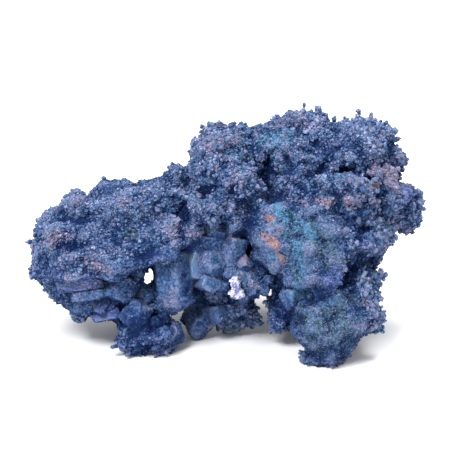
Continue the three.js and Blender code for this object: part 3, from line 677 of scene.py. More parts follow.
def cube():
    """A cube's corners and triangles."""
    corners = np.array(list(np.ndindex(2, 2, 2))) * 2.0 - 1
    faces = [(0, 1, 3), (0, 3, 2), (4, 6, 7), (4, 7, 5), (0, 4, 5), (0, 5, 1),
             (2, 3, 7), (2, 7, 6), (0, 2, 6), (0, 6, 4), (1, 5, 7), (1, 7, 3)]
    return corners * CUBE_HALF, np.array(faces)


def octahedron():
    """An octahedron's corners and triangles."""
    faces = [(0, 1, 2), (1, 3, 2), (3, 4, 2), (4, 0, 2), (1, 0, 5), (3, 1, 5), (4, 3, 5), (0, 4, 5)]
    return SIX_WAYS, np.array(faces)


def tetrahexahedron(height):
    """A cube with a low pyramid on each side. At height 2 the sides pair up into a rhombic dodecahedron."""
    corners, _ = cube()
    tops = SIX_WAYS * CUBE_HALF * height
    faces = []
    for side, top in enumerate(tops):
        ring = np.where(corners @ top > 0)[0]
        spokes = corners[ring] - corners[ring].mean(axis=0)
        along = np.cross(top / np.linalg.norm(top), spokes[0])
        ring = ring[np.argsort(np.arctan2(spokes @ along, spokes @ spokes[0]))]
        faces += [(ring[k], ring[(k + 1) % 4], 8 + side) for k in range(4)]
    return np.concatenate([corners, tops]), np.array(faces)


# The crystals' forms, and how many of each there are as a share.
GRAIN_FORMS = [(cube(), 0.5), (octahedron(), 0.5)]
CHUNK_FORMS = [(cube(), 0.2), (octahedron(), 0.15),
               (tetrahexahedron(1.35), 0.35), (tetrahexahedron(1.9), 0.3)]


def rotations(axis, angle):
    """Rotation matrices about unit axes: I + sin(a) K + (1 - cos(a)) K^2, with K the cross product."""
    cross = np.zeros((len(axis), 3, 3))
    cross[:, 0, 1], cross[:, 0, 2], cross[:, 1, 2] = -axis[:, 2], axis[:, 1], -axis[:, 0]
    cross = cross - np.swapaxes(cross, 1, 2)
    sine, versine = np.sin(angle)[:, None, None], (1 - np.cos(angle))[:, None, None]
    return np.eye(3) + sine * cross + versine * (cross @ cross)


def crystal_turns(spots, random, size, loose):
    """How crystals are turned: those of one bud alike, and each off that by a random angle."""
    _, owner = buds(spots, size, SEEDS["turns"])
    shared = np.stack([np.sin(owner * 917), np.cos(owner * 631), np.sin(owner * 353 + 1)], axis=1)
    own = rotations(unit(random.normal(size=(len(spots), 3))), random.normal(0, loose, len(spots)))
    return own @ rotations(unit(shared), owner * 2 * math.pi)


def crystals_surface(group, turns, stretch, forms, random):
    """Closed crystals, each form's corners scaled, turned and moved to its spots: points and triangles in
    the layout, and the crystal that each point belongs to."""
    spots, radii = group["spot"], group["radius"]
    shares = np.cumsum([share for _, share in forms])
    kinds = np.searchsorted(shares, random.uniform(0, shares[-1] * 0.999, len(spots)))
    parts, owners = [], []
    for kind, ((corners, sides), _) in enumerate(forms):
        chosen = np.where(kinds == kind)[0]
        local = corners[None] * (radii[chosen, None, None] * stretch[chosen, None, :])
        placed = np.einsum("nij,nkj->nki", turns[chosen], local) + spots[chosen, None, :]
        faces = sides[None] + len(corners) * np.arange(len(chosen))[:, None, None]
        parts.append((placed.reshape(-1, 3), faces.reshape(-1, 3)))
        owners.append(np.repeat(chosen, len(corners)))
    return *stacked(parts), np.concatenate(owners)


def sphere_directions(steps):
    """Directions all round, as a cube's grid of `steps` by `steps` squares a side, and its squares."""
    along = np.tan(np.linspace(-math.pi / 4, math.pi / 4, steps + 1))
    first, second = (grid.ravel() for grid in np.meshgrid(along, along, indexing="ij"))
    corner = np.arange((steps + 1) ** 2).reshape(steps + 1, steps + 1)
    ring = [corner[:-1, :-1], corner[1:, :-1], corner[1:, 1:], corner[:-1, 1:]]
    square = np.stack(ring, axis=-1).reshape(-1, 4)
    parts = []
    for axis, sign in product(range(3), (1, -1)):
        side = np.zeros((len(first), 3))
        side[:, axis], side[:, (axis + 1) % 3], side[:, (axis + 2) % 3] = sign, first, second * sign
        parts.append((side, square))
    sides, squares = stacked(parts)
    _, index, inverse = np.unique(np.round(sides, 6), axis=0, return_index=True, return_inverse=True)
    return unit(sides[index]), inverse.reshape(-1)[squares]


def crystal_planes(form, random):
    """The unit normals of a form's faces and how far each lies from the middle, a little uneven."""
    pairs = list(product((-1, 1), repeat=2))
    if form == "six-sided prism":
        angle = np.arange(6) * math.pi / 3
        sides = np.stack([np.cos(angle), np.sin(angle), 0 * angle], axis=1)
        normals = [*sides, (0, 0, 1), (0, 0, -1), *(sides + [0, 0, 1.1]), *(sides - [0, 0, 1.1])]
        reach = [0.9] * 6 + [1] * 2 + [1.2] * 12
    elif form == "dodecahedron":
        normals = [np.insert(pair, axis, 0) for axis in (2, 1, 0) for pair in pairs]
        reach = [0.86] * 12
    else:
        normals = [*SIX_WAYS, *product((-1, 1), repeat=3), *((a, b, 0) for a, b in pairs)]
        reach = [0.92] * 6 + [1.25] * 8 + [1.12] * 4
    normals = unit(np.array(normals, float))
    normals = unit(normals + random.normal(0, 0.13, normals.shape))
    return normals, np.array(reach) * random.uniform(0.84, 1.06, len(reach))


def spun(points, axis, degrees):
    """Points turned about a unit axis through the middle."""
    return points @ rotations(np.array([axis], float), np.array([math.radians(degrees)]))[0].T


def block_crystal(form, at, half, turn, yaw, random, steps=22, sharpness=34):
    """One block crystal in the layout: its points and squares.

    In each direction d its surface lies at r = (sum of max(0, d . n / h)^p)^(-1/p) over its faces with
    normals n, distances h and sharpness p, plus fine noise and low terraces."""
    directions, squares = sphere_directions(steps)
    normals, reach = crystal_planes(form, random)
    share = np.maximum(directions @ normals.T / reach, 0)
    radius = (share**sharpness).sum(axis=1) ** (-1 / sharpness)
    local = spun(spun(directions * radius[:, None] * half, (0, 0, 1), yaw), (0, 1, 0), -turn)
    place = local + at
    coarse = min(half) / 4
    terraces = np.round(1.6 * rough(place, *NOISES["terraces"])) * 0.15 * coarse
    grain = 0.12 * coarse * rough(place, *NOISES["block grain"])
    lumps = 0.3 * (coarse > 1.3) * rough(place, *NOISES["block lumps"])
    return place + unit(local) * (terraces + grain + lumps)[:, None], squares


def scattered(points, faces, weights, count, random):
    """Spots on a surface, by area and weight: the corners of the triangle that each lies on, and where."""
    a, b, c = (points[faces[:, k]] for k in range(3))
    areas = np.linalg.norm(np.cross(b - a, c - a), axis=1) * weights[faces].mean(axis=1)
    picked = random.choice(len(faces), count, p=areas / areas.sum())
    share = random.uniform(0, 1, (count, 2))
    share = np.where(share.sum(axis=1, keepdims=True) > 1, 1 - share, share)
    spots = a[picked] + (b - a)[picked] * share[:, :1] + (c - a)[picked] * share[:, 1:]
    return faces[picked], spots


def spaced(spots, size, random):
    """One spot for each cell of `size`, so that they lie evenly."""
    order = random.permutation(len(spots))
    _, first = np.unique(np.floor(spots[order] / size).astype(np.int64), axis=0, return_index=True)
    return np.sort(order[first])


def seated(surface, weights, count, seating, radius, random):
    """A group of crystals on a surface, evenly spaced, with radii spread round one size, and with the
    surface's values at their spots."""
    apart, spread, sink = SEATING[seating]
    corners, spots = scattered(surface["points"], surface["faces"], weights, count, random)
    kept = spaced(spots, apart, random)
    corners, spots = corners[kept], spots[kept]
    radii = radius * np.exp(spread * random.normal(size=len(spots)).clip(-UNEVEN_MOST, UNEVEN_MOST))
    out = unit(surface["facing"][corners].mean(axis=1))
    spots = spots + out * (radii * random.uniform(*sink, len(spots)))[:, None]
    values = {name: values[corners].mean(axis=1) for name, values in surface["masks"].items()}
    return {"spot": spots, "out": out, "radius": radii} | values


def picked_from(group, index):
    """Some of a group of crystals."""
    return {key: values[index] for key, values in group.items()}


def joined(groups):
    """Several groups of crystals as one."""
    return {key: np.concatenate([group[key] for group in groups]) for key in groups[0]}


def grown_on(group, share, lighter, random, count=2):
    """Smaller crystals on the outer side of those of a group: `count` each, with radii of `share`."""
    host = picked_from(group, np.repeat(np.arange(len(group["spot"])), count))
    out = unit(host["out"] + 0.8 * random.normal(size=host["out"].shape))
    # Painted light: the smaller crystals are lighter than their hosts by `lighter`.
    return host | {"spot": host["spot"] + out * (host["radius"] * 0.72)[:, None], "out": out,
                   "radius": host["radius"] * share * np.exp(random.normal(0, 0.25, len(out))),
                   "exposure": np.clip(host["exposure"] + lighter, 0, 1)}


def chained(group, chances, count, most, random):
    """Chains of crystals that grow outwards from those of a group, each a little off the last one's way."""
    hosts = random.choice(len(group["spot"]), count, replace=False, p=chances / chances.sum())
    link = picked_from(group, hosts)
    steps = random.integers(1, most + 1, count)
    way = unit(link["out"] + random.normal(0, 0.4, (count, 3)))
    links = []
    for step in range(1, most + 1):
        way = unit(way + random.normal(0, 0.2, way.shape))
        # Painted light: each link of a chain is a little lighter than the last.
        link = link | {"spot": link["spot"] + way * (link["radius"] * 1.1)[:, None], "out": way,
                       "radius": link["radius"] * 0.95, "exposure": np.clip(link["exposure"] + 0.06, 0, 1)}
        links.append(picked_from(link, steps >= step))
    return joined(links)


def surface_of(pieces):
    """Several pieces' surfaces as one, in the layout: points, triangles, normals and mask values."""
    parts = [triangles_of(piece.data) for piece in pieces]
    points, faces = stacked([(to_layout(metres), triangles) for metres, triangles in parts])
    masks = {name: np.concatenate([values_of(piece.data, name) for piece in pieces]) for name in MASK_NAMES}
    return {"points": points, "faces": faces, "facing": normals_of(points, faces), "masks": masks}


def sprig_crystals(surface, random):
    """Rods of overlapping crystals on the surface's highest points at given places across."""
    points, links = surface["points"], []
    for across, lean, length, radius in SPRIGS:
        near = np.where(np.abs(points[:, 0] - across) < 1.0)[0]
        base = near[np.argmax(points[near, 2])]
        count = max(2, round(length / (radius * 0.9)))
        along = np.linspace(-radius, length - radius, count)[:, None]
        way = np.array([[math.sin(math.radians(lean)), 0.0, math.cos(math.radians(lean))]])
        wobble = random.normal(0, 0.1 * radius, (count, 3))
        swollen = radius * (1 + 0.16 * random.normal(size=count)) * np.linspace(1.0, 1.12, count)
        masks = {name: np.full(count, values[base]) for name, values in surface["masks"].items()}
        links.append(masks | {"spot": points[base] + along * way + wobble,
                              "out": np.repeat(way, count, axis=0), "radius": swollen})
    return joined(links)


def crust_crystals(surface, on_skin, sizes, random):
    """The crust's crystals on the skin and the blocks, in two groups: coarse ones, chains and sprigs, and
    fine ones. Weights say where each kind is seated: 0 to 1 by form, facing, exposure and place."""
    layout, exposure = surface["points"], surface["masks"]["exposure"]
    fine, wild, dusty = fine_share(layout), wild_share(layout), dusty_share(layout)
    flat = flat_share(layout) * on_skin
    front = faded(surface["facing"][:, 1], -0.2, 0.1)
    clear = (1 - ramp(np.maximum(flat, fine), 0.3, 0.8)) * on_skin
    pits = 0.12 + 0.88 * ramp(rough(layout, *NOISES["pits"]), -0.35, 0.1)
    open_share = clear * pits * (0.3 + 0.7 * np.clip(exposure, 0, 1))
    before, behind = open_share * front * (1 - 0.4 * wild), open_share * (1 - front) * (1 - 0.5 * wild)
    dusted = np.maximum(dusty, 0.3 * ramp(fine, 0.3, 0.9) * (1 - flat)) * on_skin
    dusted = dusted + 0.13 * (1 - on_skin) * front * (1 - inside(layout, CLEAN_PLACES.values(), 3, 0.2))

    chunks = seated(surface, open_share * wild, sizes.chunks, "chunks", sizes.chunk / MM, random)
    chunks["radius"] = chunks["radius"] * (1 + 0.15 * ramp(chunks["spot"][:, 0], 34, 46))
    grains = joined([
        seated(surface, before, sizes.grains, "front grains", 0.72 * sizes.grain / MM, random),
        seated(surface, behind, sizes.grains // 3, "back grains", 1.2 * sizes.grain / MM, random)])
    dust = seated(surface, dusted, sizes.dust, "dust", 0.5 * sizes.grain / MM, random)
    on_chunks = grown_on(chunks, 0.55, 0.1, random)
    kept = (np.arange(len(on_chunks["spot"])) % 2 == 0) | (on_chunks["spot"][:, 1] < BACK)
    on_chunks = picked_from(on_chunks, kept)
    chains = chained(chunks, np.clip(chunks["exposure"], 0.1, 1) ** 2, sizes.chains, 2, random)
    on_chains = grown_on(chains, 0.55, 0.1, random)
    sprigs = sprig_crystals(surface, random)
    on_sprigs = grown_on(sprigs, 0.5, 0.0, random)
    # Painted shade: the crystals are lighter than the shaded skin under them.
    for group in (chunks, grains, on_chunks, chains, on_chains, sprigs, on_sprigs):
        group["exposure"] = group["exposure"] + PAINTED_SHADE_UNDER_CRUST
    return [(joined([chunks, chains, sprigs]), CHUNK_FORMS),
            (joined([grains, dust, on_chunks, on_chains, on_sprigs]), GRAIN_FORMS)]


# The crust's regions, each a piece: the layout's box [low, high] of its middles.
REGIONS = {
    "crust_left_slab": ((-99, -99, 24), (-34, BACK, 99)),
    "crust_slab_middle": ((-34, -99, 24), (-12, BACK, 99)),
    "crust_centre_low": ((-12, -99, 36), (14, BACK, 55)),
    "crust_centre_high": ((-12, -99, 55), (14, BACK, 99)),
    "crust_right_dome": ((14, -99, 46), (34, BACK, 99)),
    "crust_right_top": ((34, -99, 46), (99, BACK, 99)),
    "crust_broad_face": ((14, -99, 22), (36, BACK, 46)),
    "crust_right_flank": ((36, -99, 22), (99, BACK, 46)),
    "crust_lower_right": ((14, -99, -99), (99, BACK, 22)),
    "crust_feet": ((-99, -99, -99), (14, BACK, 36)),
    "crust_back_left": ((-99, BACK, -99), (-6, 99, 99)),
    "crust_back_middle": ((-6, BACK, -99), (22, 99, 99)),
    "crust_back_right_low": ((22, BACK, -99), (99, 99, 36)),
    "crust_back_right_high": ((22, BACK, 36), (99, 99, 99)),
}


def region_of(spots):
    """The region's name for each spot: the first whose box holds it."""
    names = np.full(len(spots), "", dtype=object)
    for name, (low, high) in REGIONS.items():
        names[(spots >= low).all(axis=1) & (spots < high).all(axis=1) & (names == "")] = name
    return names


def crust_mesh(name, groups, random):
    """One mesh of groups of crystals, each with its own forms. A crystal's points that stand out are
    painted lighter and its base painted darker, by how far they stand in its radii."""
    parts, values = [], []
    for group, forms in groups:
        count = len(group["spot"])
        turns = crystal_turns(group["spot"], random, 4.0, 0.5)
        stretch = np.exp(0.27 * random.normal(size=(count, 3)).clip(-UNEVEN_MOST, UNEVEN_MOST))
        placed, sides, owner = crystals_surface(group, turns, stretch, forms, random)
        own = picked_from(group, owner)
        proud = ((placed - own["spot"]) * own["out"]).sum(axis=1) / own["radius"]
        parts.append((placed, sides))
        masks = {key: own[key] for key in MASK_NAMES} | {"tone": random.uniform(0, 1, count)[owner]}
        # Painted light: the outer points of each crystal lighter, its base darker.
        values.append(masks | {"exposure": masks["exposure"] + 0.3 * (proud - 0.4)})
    points, faces = stacked(parts)
    mesh = new_mesh(name, to_frame(points, CRYSTAL_GAP), faces, False)
    set_values(mesh, joined(values))
    return mesh


def rides(name, mesh, material):
    """A finished piece of one material, in one material slot, that rides on the body."""
    mesh.materials.append(material)
    piece = new_object(name, mesh)
    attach(piece, BODY)
    return piece


def node(tree, kind, inputs=None, **settings):
    """A shader node with settings of its own and with values or links for its inputs."""
    made = tree.nodes.new(kind)
    for name, value in settings.items():
        setattr(made, name, value)
    for name, value in (inputs or {}).items():
        if isinstance(value, bpy.types.NodeSocket):
            tree.links.new(value, made.inputs[name])
        else:
            made.inputs[name].default_value = value
    return made


def maths(tree, operation, first, second=0.0, third=0.0, clamp=False):
    """The result of a Math node."""
    return node(tree, "ShaderNodeMath", {0: first, 1: second, 2: third}, operation=operation,
                use_clamp=clamp).outputs[0]


def mixed(tree, factor, first, second, blend="MIX"):
    """The colour of a Mix node."""
    return node(tree, "ShaderNodeMix", {0: factor, 6: first, 7: second}, data_type="RGBA", blend_type=blend,
                clamp_factor=True).outputs[2]


def stepped(tree, value, low, high):
    """0 below low, 1 above high, and smooth between them."""
    return node(tree, "ShaderNodeMapRange", {"Value": value, "From Min": low, "From Max": high},
                interpolation_type="SMOOTHSTEP").outputs["Result"]


def noise_node(tree, place, scale, detail):
    """The value of a Noise Texture node."""
    made = node(tree, "ShaderNodeTexNoise", {"Vector": place, "Scale": scale, "Detail": detail})
    return made.outputs["Fac"]


def new_group(name, inputs, outputs):
    """A shader node group with named sockets: its tree, and its inputs by name."""
    tree = bpy.data.node_groups.new(name, "ShaderNodeTree")
    for sockets, way in ((inputs, "INPUT"), (outputs, "OUTPUT")):
        for title, kind in sockets.items():
            tree.interface.new_socket(title, in_out=way, socket_type=f"NodeSocket{kind}")
    return tree, tree.nodes.new("NodeGroupInput").outputs


STAIN_NAMES = ("Green", "Violet", "Turquoise", "Pink", "Orange")
MASK_TITLES = [f"{name} Mask" for name in (*STAIN_NAMES, "Gloom")]
TARNISH_AND_PAINTED_LIGHT_COLOURS = ("Deep", "Shade", "Light", "Tip", "Warm", "Cool", *(name.title() for name in STAINS))


def tarnish_and_painted_light_group():
    """Copper's tarnish with its painted light: from Deep, painted shade in crevices, by Shade and Light to
    Tip, painted highlights on what stands proud, speckled at the scale of grains, with stains that keep the
    light and dark of what they cover, and painted shade where the cluster is sheltered. It also gives where
    the film is worn, which is smoother."""
    floats = dict.fromkeys(["Exposure", "Tone", "Speckle", *MASK_TITLES], "Float")
    tree, inputs = new_group("Tarnish And Painted Light", floats | dict.fromkeys(TARNISH_AND_PAINTED_LIGHT_COLOURS, "Color"),
                             {"Color": "Color", "Worn": "Float"})

    def fused(value, factor, plus, **settings):
        """value * factor + plus."""
        return maths(tree, "MULTIPLY_ADD", value, factor, plus, **settings)

    def times(first, second):
        """first * second."""
        return maths(tree, "MULTIPLY", first, second)

    def centred(value):
        """value - 0.5."""
        return maths(tree, "SUBTRACT", value, 0.5)

    place = tree.nodes.new("ShaderNodeTexCoord").outputs["Object"]
    fine, broad = noise_node(tree, place, 1500.0, 3.0), noise_node(tree, place, 260.0, 4.0)
    speck, drift = centred(fine), centred(broad)
    # Painted light: the level starts from the painted light and wear mask, dark in crevices and light on
    # what stands proud.
    level = fused(speck, inputs["Speckle"], inputs["Exposure"])
    level = fused(centred(inputs["Tone"]), 0.8, level)
    level = fused(drift, 0.5, level)
    # Painted shade: the level is darker where the cluster is sheltered.
    level = fused(inputs["Gloom Mask"], -0.3, level)
    colour = inputs["Deep"]
    # Painted light and shade: Deep in crevices, through Shade and Light, to painted highlights in Tip.
    for name, low, high in (("Shade", 0.1, 0.42), ("Light", 0.36, 0.74), ("Tip", 0.7, 1.08)):
        colour = mixed(tree, stepped(tree, level, low, high), colour, inputs[name])
    hue = fused(speck, 0.9, times(drift, 1.3))
    hue = fused(centred(inputs["Tone"]), 0.35, hue)
    warm, cool = stepped(tree, hue, 0.0, 0.45), stepped(tree, times(hue, -1.0), 0.0, 0.45)
    colour = mixed(tree, warm, colour, inputs["Warm"], "MULTIPLY")
    colour = mixed(tree, cool, colour, inputs["Cool"], "MULTIPLY")
    keep = fused(level, 1.35, 0.12, clamp=True)
    for seed, name in enumerate(STAIN_NAMES):
        mask = inputs[f"{name} Mask"]
        own = node(tree, "ShaderNodeTexNoise", noise_dimensions="4D", inputs={
            "Vector": place, "W": seed * 3.0, "Scale": 620.0, "Detail": 6.0, "Roughness": 0.68})
        edge = fused(centred(own.outputs["Fac"]), 4.5, mask)
        shown = times(stepped(tree, edge, 0.2, 1.15), stepped(tree, mask, 0.0, 0.6))
        if name in ("Pink", "Orange"):
            shown = times(shown, stepped(tree, level, 0.25, 0.7))
        grey = node(tree, "ShaderNodeCombineColor", dict.fromkeys(range(3), keep)).outputs[0]
        covered = mixed(tree, 1.0, inputs[name], grey, "MULTIPLY")
        colour = mixed(tree, times(shown, 0.85), colour, covered)
    # Painted shade: sheltered places are multiplied by the painted shade colour.
    colour = mixed(tree, times(inputs["Gloom Mask"], 0.55), colour, inputs["Gloom"], "MULTIPLY")
    node(tree, "NodeGroupOutput", {"Color": colour, "Worn": stepped(tree, level, 0.5, 1.0)})
    return tree


def relief_group():
    """The fine grain of the metal, as a height: noise and small cells."""
    tree, inputs = new_group("Fine Relief", {"Size": "Float"}, {"Height": "Float"})
    place = tree.nodes.new("ShaderNodeTexCoord").outputs["Object"]
    per_metre = maths(tree, "DIVIDE", 1.0, inputs["Size"])
    cells = node(tree, "ShaderNodeTexVoronoi", {"Vector": place, "Scale": per_metre})
    grain = noise_node(tree, place, per_metre, 5.0)
    height = maths(tree, "MULTIPLY_ADD", cells.outputs["Distance"], -0.7, grain)
    node(tree, "NodeGroupOutput", {"Height": height})
    return tree


def group_node(tree, name, build, inputs):
    """A node for the shader group of that name, which is built the first time it is asked for."""
    return node(tree, "ShaderNodeGroup", inputs, node_tree=bpy.data.node_groups.get(name) or build())


def new_material(name, inputs):
    """A material whose shader has these inputs: the material, its tree and its shader."""
    material = bpy.data.materials.new(name)
    material.use_nodes = True
    shader = material.node_tree.nodes["Principled BSDF"]
    for title, value in inputs.items():
        shader.inputs[title].default_value = value
    return material, material.node_tree, shader


def add_relief(tree, shader, size, depth):
    """Bumps a shader's surface with the fine relief of a size and depth in metres."""
    fine = group_node(tree, "Fine Relief", relief_group, {"Size": size})
    bump = node(tree, "ShaderNodeBump", {
        "Height": fine.outputs["Height"], "Strength": 1.0, "Distance": depth})
    tree.links.new(bump.outputs["Normal"], shader.inputs["Normal"])


def copper_material(name):
    """Copper in its tarnish: the tarnish with its painted light and shade colours it, and worn grains are a
    little glossier.
    """
    speckle, relief_size, relief, roughness = FINISHES[name]
    palette = bpy.context.scene.copper_colours
    material, tree, shader = new_material(name, {"Metallic": 0.5, "Specular IOR Level": 0.3})
    colours = {title: (*getattr(palette, title.lower()), 1.0) for title in TARNISH_AND_PAINTED_LIGHT_COLOURS}
    # This node paints the tarnish's colours with painted light and shade.
    tarnish = group_node(tree, "Tarnish And Painted Light", tarnish_and_painted_light_group, {"Speckle": speckle} | colours)
    for title in ("Exposure", "Tone", *MASK_TITLES):
        source = node(tree, "ShaderNodeAttribute", attribute_name=title.replace(" Mask", "").lower())
        tree.links.new(source.outputs["Fac"], tarnish.inputs[title])
    tree.links.new(tarnish.outputs["Color"], shader.inputs["Base Color"])
    gloss = node(tree, "ShaderNodeMapRange", {
        "Value": tarnish.outputs["Worn"], "To Min": roughness + 0.16, "To Max": roughness - 0.02})
    tree.links.new(gloss.outputs["Result"], shader.inputs["Roughness"])
    add_relief(tree, shader, relief_size, relief)
    return material


def calcite_material():
    """Sugary calcite: white with faint violet clouds and a fine grain."""
    material, tree, shader = new_material("white calcite", {"Roughness": 0.4})
    place = tree.nodes.new("ShaderNodeTexCoord").outputs["Object"]
    clouds = stepped(tree, noise_node(tree, place, 700.0, 4.0), 0.4, 0.6)
    colour = mixed(tree, clouds, (0.17, 0.19, 0.38, 1), (0.66, 0.64, 0.8, 1))
    tree.links.new(colour, shader.inputs["Base Color"])
    add_relief(tree, shader, 0.0004, 0.0001)
    return material


def colour_property(name, description, default):
    """A colour that a user can change."""
    return FloatVectorProperty(name=name, description=description, default=default, size=3,
                               subtype="COLOR", min=0, max=2)


def length_property(name, description, default):
    """A length in metres that a user can change."""
    return FloatProperty(name=name, description=description, default=default, unit="LENGTH",
                         subtype="DISTANCE", min=0, precision=5)


def count_property(name, description, default, least=1):
    """A number of things that a user can change."""
    return IntProperty(name=name, description=description, default=default, min=least)


class CopperSizes(bpy.types.PropertyGroup):
    """Sizes of the cluster's surface."""

    voxel: length_property("Skin Voxel", "Edge of the voxels that the skin is made from", 0.0006)
    swell: length_property("Swell", "Height of the lumps' own unevenness", 0.0007)
    bud: length_property("Bud", "From one bud of the skin to the next", 0.0032)
    bud_height: length_property("Bud Height", "How far a bud stands out", 0.0013)
    clump: length_property("Clump", "From one clump of buds to the next", 0.0066)
    clump_height: length_property("Clump Height", "How far a clump stands out", 0.0017)
    grit: length_property("Grit", "From one grain of the skin to the next", 0.0012)
    grit_height: length_property("Grit Height", "How far the skin's grains stand out", 0.0005)
    grain: length_property("Crystal", "Half the size of the crust's middling crystals", 0.0005)
    chunk: length_property("Chunk", "Half the size of the coarse crystals", 0.0005)
    skin_triangles: count_property("Skin Triangles", "The most that the skin may have", 196000, 1000)
    chunks: count_property("Chunks", "How many coarse crystals the crust tries to seat", 14000)
    grains: count_property("Grains", "How many small crystals the crust tries to seat", 70000)
    dust: count_property("Dust", "How many of the finest crystals the crust tries to seat", 30000)
    chains: count_property("Chains", "How many chains of crystals stand up from the crust", 1500)


class CopperColours(bpy.types.PropertyGroup):
    """Colours of the tarnish and of its painted light and shade."""

    # Deep, Shade, Light and Tip: from painted shade in crevices to painted highlights on the highest
    # grains, with random tone between.
    deep: colour_property("Deep", "In crevices", (0.004, 0.02, 0.09))
    shade: colour_property("Shade", "On what lies back", (0.023, 0.06, 0.16))
    light: colour_property("Light", "On what stands out", (0.07, 0.125, 0.26))
    tip: colour_property("Tip", "On the highest grains", (0.145, 0.185, 0.315))
    turquoise: colour_property("Turquoise", "Of the turquoise stains", (0.08, 0.225, 0.38))
    orange: colour_property("Orange", "Of the bare copper", (0.3, 0.18, 0.18))
    pink: colour_property("Pink", "Of the pinkish edges", (0.235, 0.2, 0.29))
    green: colour_property("Green", "Of the greenish stains", (0.082, 0.152, 0.208))
    violet: colour_property("Violet", "Of the violet stains", (0.11, 0.145, 0.41))
    warm: colour_property("Warm", "What multiplies the warmer grains", (1.45, 1.08, 1.0))
    cool: colour_property("Cool", "What multiplies the cooler grains", (0.62, 1.06, 1.0))
    # Painted shade: what multiplies sheltered places and undersides.
    gloom: colour_property("Gloom", "What multiplies the sheltered places", (0.4, 0.54, 0.82))


class OBJECT_OT_copper_skin(bpy.types.Operator):
    """Make the copper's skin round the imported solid"""

    bl_idname = "object.copper_skin"
    bl_label = "Make Copper Skin"

    def execute(self, context):
        layout, faces = skin_surface(context.scene.copper_sizes)
        mesh = new_mesh(SKIN, to_frame(layout), faces, True)
        # Painted light from the form, with painted shade where the skin lies under the crust.
        exposure = painted_light_of(layout, faces) - PAINTED_SHADE_UNDER_CRUST * (1 - 0.7 * dusty_share(layout))
        masks = colour_masks(layout, normals_of(layout, faces), exposure)
        set_values(mesh, masks | {"tone": buds(layout, 1.1, SEEDS["skin tone"])[1]})
        skin = rides(SKIN, mesh, copper_material("tarnished copper skin"))
        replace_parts(skin, COPPER_NODE)
        return {"FINISHED"}


class OBJECT_OT_block_crystals(bpy.types.Operator):
    """Set the large block crystals into the wall under the slab and into the feet"""

    bl_idname = "object.block_crystals"
    bl_label = "Set Block Crystals"

    def execute(self, context):
        random = np.random.default_rng(SEEDS["blocks"])
        parts = [block_crystal(form, np.array(at), np.array(half), turn, yaw, random)
                 for form, at, half, turn, yaw, _ in BLOCK_CRYSTALS.values()]
        layout, squares = stacked(parts)
        lighter = np.repeat([light for *_, light in BLOCK_CRYSTALS.values()], len(parts[0][0]))
        faces = np.concatenate([squares[:, [0, 1, 2]], squares[:, [0, 2, 3]]])
        facing = normals_of(layout, faces)
        # Painted light: faces turned towards the key light's side are lighter, and proud edges get painted
        # highlights.
        lit = facing @ np.array([-0.35, -0.35, 0.85])
        proud = standing_proud(layout, faces, 5)
        uneven = 0.14 * rough(layout, *NOISES["block light"])
        exposure = np.clip(0.48 + lighter + 0.26 * lit + 0.7 * proud + uneven, 0, 1)
        mesh = new_mesh(BLOCKS, to_frame(layout, CRYSTAL_GAP), squares, True)
        tone = 0.4 + 0.2 * buds(layout, 5.0, SEEDS["block tone"])[1]
        set_values(mesh, colour_masks(layout, facing, exposure) | {"tone": tone})
        rides(BLOCKS, mesh, copper_material("tarnished copper blocks"))
        return {"FINISHED"}


class OBJECT_OT_copper_crust(bpy.types.Operator):
    """Seat the crust's small crystals on the skin, and chains of them"""

    bl_idname = "object.copper_crust"
    bl_label = "Grow Crystal Crust"

    def execute(self, context):
        skin, blocks = bpy.data.objects.get(SKIN), bpy.data.objects.get(BLOCKS)
        if skin is None or blocks is None:
            raise RuntimeError("the crust grows on the skin and the block crystals, so make them first")
        random = np.random.default_rng(SEEDS["crust"])
        surface = surface_of([skin, blocks])
        on_skin = np.arange(len(surface["points"])) < len(skin.data.vertices)
        grown = crust_crystals(surface, on_skin, context.scene.copper_sizes, random)
        names = [region_of(group["spot"]) for group, _ in grown]
        material = copper_material("tarnished copper crystals")
        for name in REGIONS:
            here = [(picked_from(group, own == name), forms) for (group, forms), own in zip(grown, names)]
            rides(name, crust_mesh(name, here, random), material)
        return {"FINISHED"}


class OBJECT_OT_calcite_grain(bpy.types.Operator):
    """Make the white calcite grain and its sugary crystals"""

    bl_idname = "object.calcite_grain"
    bl_label = "Make Calcite Grain"

    def execute(self, context):
        random = np.random.default_rng(SEEDS["calcite"])
        points, faces = remeshed(*solid_of(CALCITE_NODE), CALCITE_VOXEL)
        core = eased(to_layout(points), faces, 5, 0.6)
        facing = normals_of(core, faces)
        grain, lumps = (rough(core, *NOISES[name]) for name in ("calcite grain", "calcite lumps"))
        core = core + facing * (0.8 * grain + 1.1 * lumps - 0.3)[:, None]
        middle = core.mean(axis=0)
        core[:, 0] += (core[:, 2] - middle[2]) * (-0.3 - 0.13 * (core[:, 0] - middle[0]))
        surface = {"points": core, "faces": faces, "facing": facing, "masks": {}}
        grains = seated(surface, np.ones(len(core)), CALCITE_CRYSTALS, "calcite", CALCITE_RADIUS, random)
        turns = crystal_turns(grains["spot"], random, 2.0, 0.8)
        stretch = np.exp(random.normal(0, 0.2, (len(turns), 3)))
        placed, sides, _ = crystals_surface(grains, turns, stretch, GRAIN_FORMS, random)
        points, faces = stacked([(core, faces), (placed, sides)])
        mesh = new_mesh("calcite_grain", to_frame(points), faces, False)
        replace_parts(rides("calcite_grain", mesh, calcite_material()), CALCITE_NODE)
        return {"FINISHED"}


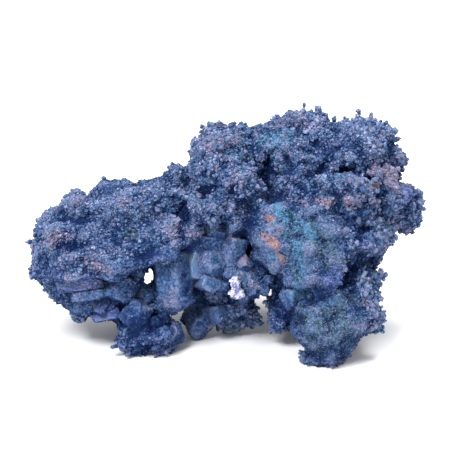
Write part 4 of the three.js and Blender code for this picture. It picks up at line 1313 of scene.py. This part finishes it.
class OBJECT_OT_studio(bpy.types.Operator):
    """Set up the pale floor, the soft lights and the camera"""

    bl_idname = "object.studio"
    bl_label = "Set Up Studio"

    def execute(self, context):
        scene = context.scene
        scene.view_settings.view_transform = "Standard"
        angle = np.linspace(0, 2 * math.pi, FLOOR_SIDES, endpoint=False)
        rim = FLOOR_RADIUS * np.stack([np.cos(angle), np.sin(angle), 0 * angle], axis=1)
        mesh = new_mesh("studio_floor", rim, np.arange(FLOOR_SIDES)[None], False)
        mesh.materials.append(
            new_material("pale floor", {"Base Color": (0.86, 0.86, 0.87, 1), "Roughness": 0.9})[0])
        floor = new_object("studio_floor", mesh)
        scene.world = bpy.data.worlds.new("studio")
        scene.world.use_nodes = True
        sky = scene.world.node_tree.nodes["Background"].inputs
        sky["Color"].default_value = (1, 1, 1, 1)
        sky["Strength"].default_value = SKY_STRENGTH
        for name, (where, power) in LIGHTS.items():
            light = bpy.data.lights.new(name, "AREA")
            light.shape, light.size, light.energy = "DISK", LIGHT_SIZE, power
            made = new_object(name, light)
            made.location = where
            made.rotation_euler = (Vector(LIT_MIDDLE) - Vector(where)).to_track_quat("-Z", "Y").to_euler()
        camera = bpy.data.cameras.new("camera")
        camera.lens, (camera.clip_start, camera.clip_end) = LENS, CLIPPING
        scene.camera = new_object("camera", camera)
        scene.camera.location = to_frame(CAMERA_AT)
        scene.camera.rotation_euler = (math.radians(90) - LEAN, 0, 0)
        return {"FINISHED"}


class VIEW3D_PT_copper_cluster(bpy.types.Panel):
    """Buttons for the cluster's pieces, in the order in which they are made"""

    bl_label = "Native Copper Cluster"
    bl_space_type = "VIEW_3D"
    bl_region_type = "UI"
    bl_category = "Copper"

    def draw(self, context):
        column = self.layout.column()
        for operator in OPERATORS:
            column.operator(operator.bl_idname)
        for settings in (context.scene.copper_sizes, context.scene.copper_colours):
            box = self.layout.box()
            for name in settings.__annotations__:
                box.prop(settings, name)


OPERATORS = (OBJECT_OT_studio, OBJECT_OT_copper_skin, OBJECT_OT_block_crystals, OBJECT_OT_copper_crust,
             OBJECT_OT_calcite_grain)
CLASSES = (CopperSizes, CopperColours, *OPERATORS, VIEW3D_PT_copper_cluster)


def register():
    """Registers the classes and adds their settings to the scene."""
    for registered in CLASSES:
        bpy.utils.register_class(registered)
    bpy.types.Scene.copper_sizes = PointerProperty(type=CopperSizes)
    bpy.types.Scene.copper_colours = PointerProperty(type=CopperColours)


def unregister():
    """Takes them away again."""
    del bpy.types.Scene.copper_colours
    del bpy.types.Scene.copper_sizes
    for registered in reversed(CLASSES):
        bpy.utils.unregister_class(registered)


def main():
    """Makes the whole cluster and its studio."""
    register()
    for operator in OPERATORS:
        category, name = operator.bl_idname.split(".")
        getattr(getattr(bpy.ops, category), name)()


if __name__ == "__main__":
    main()
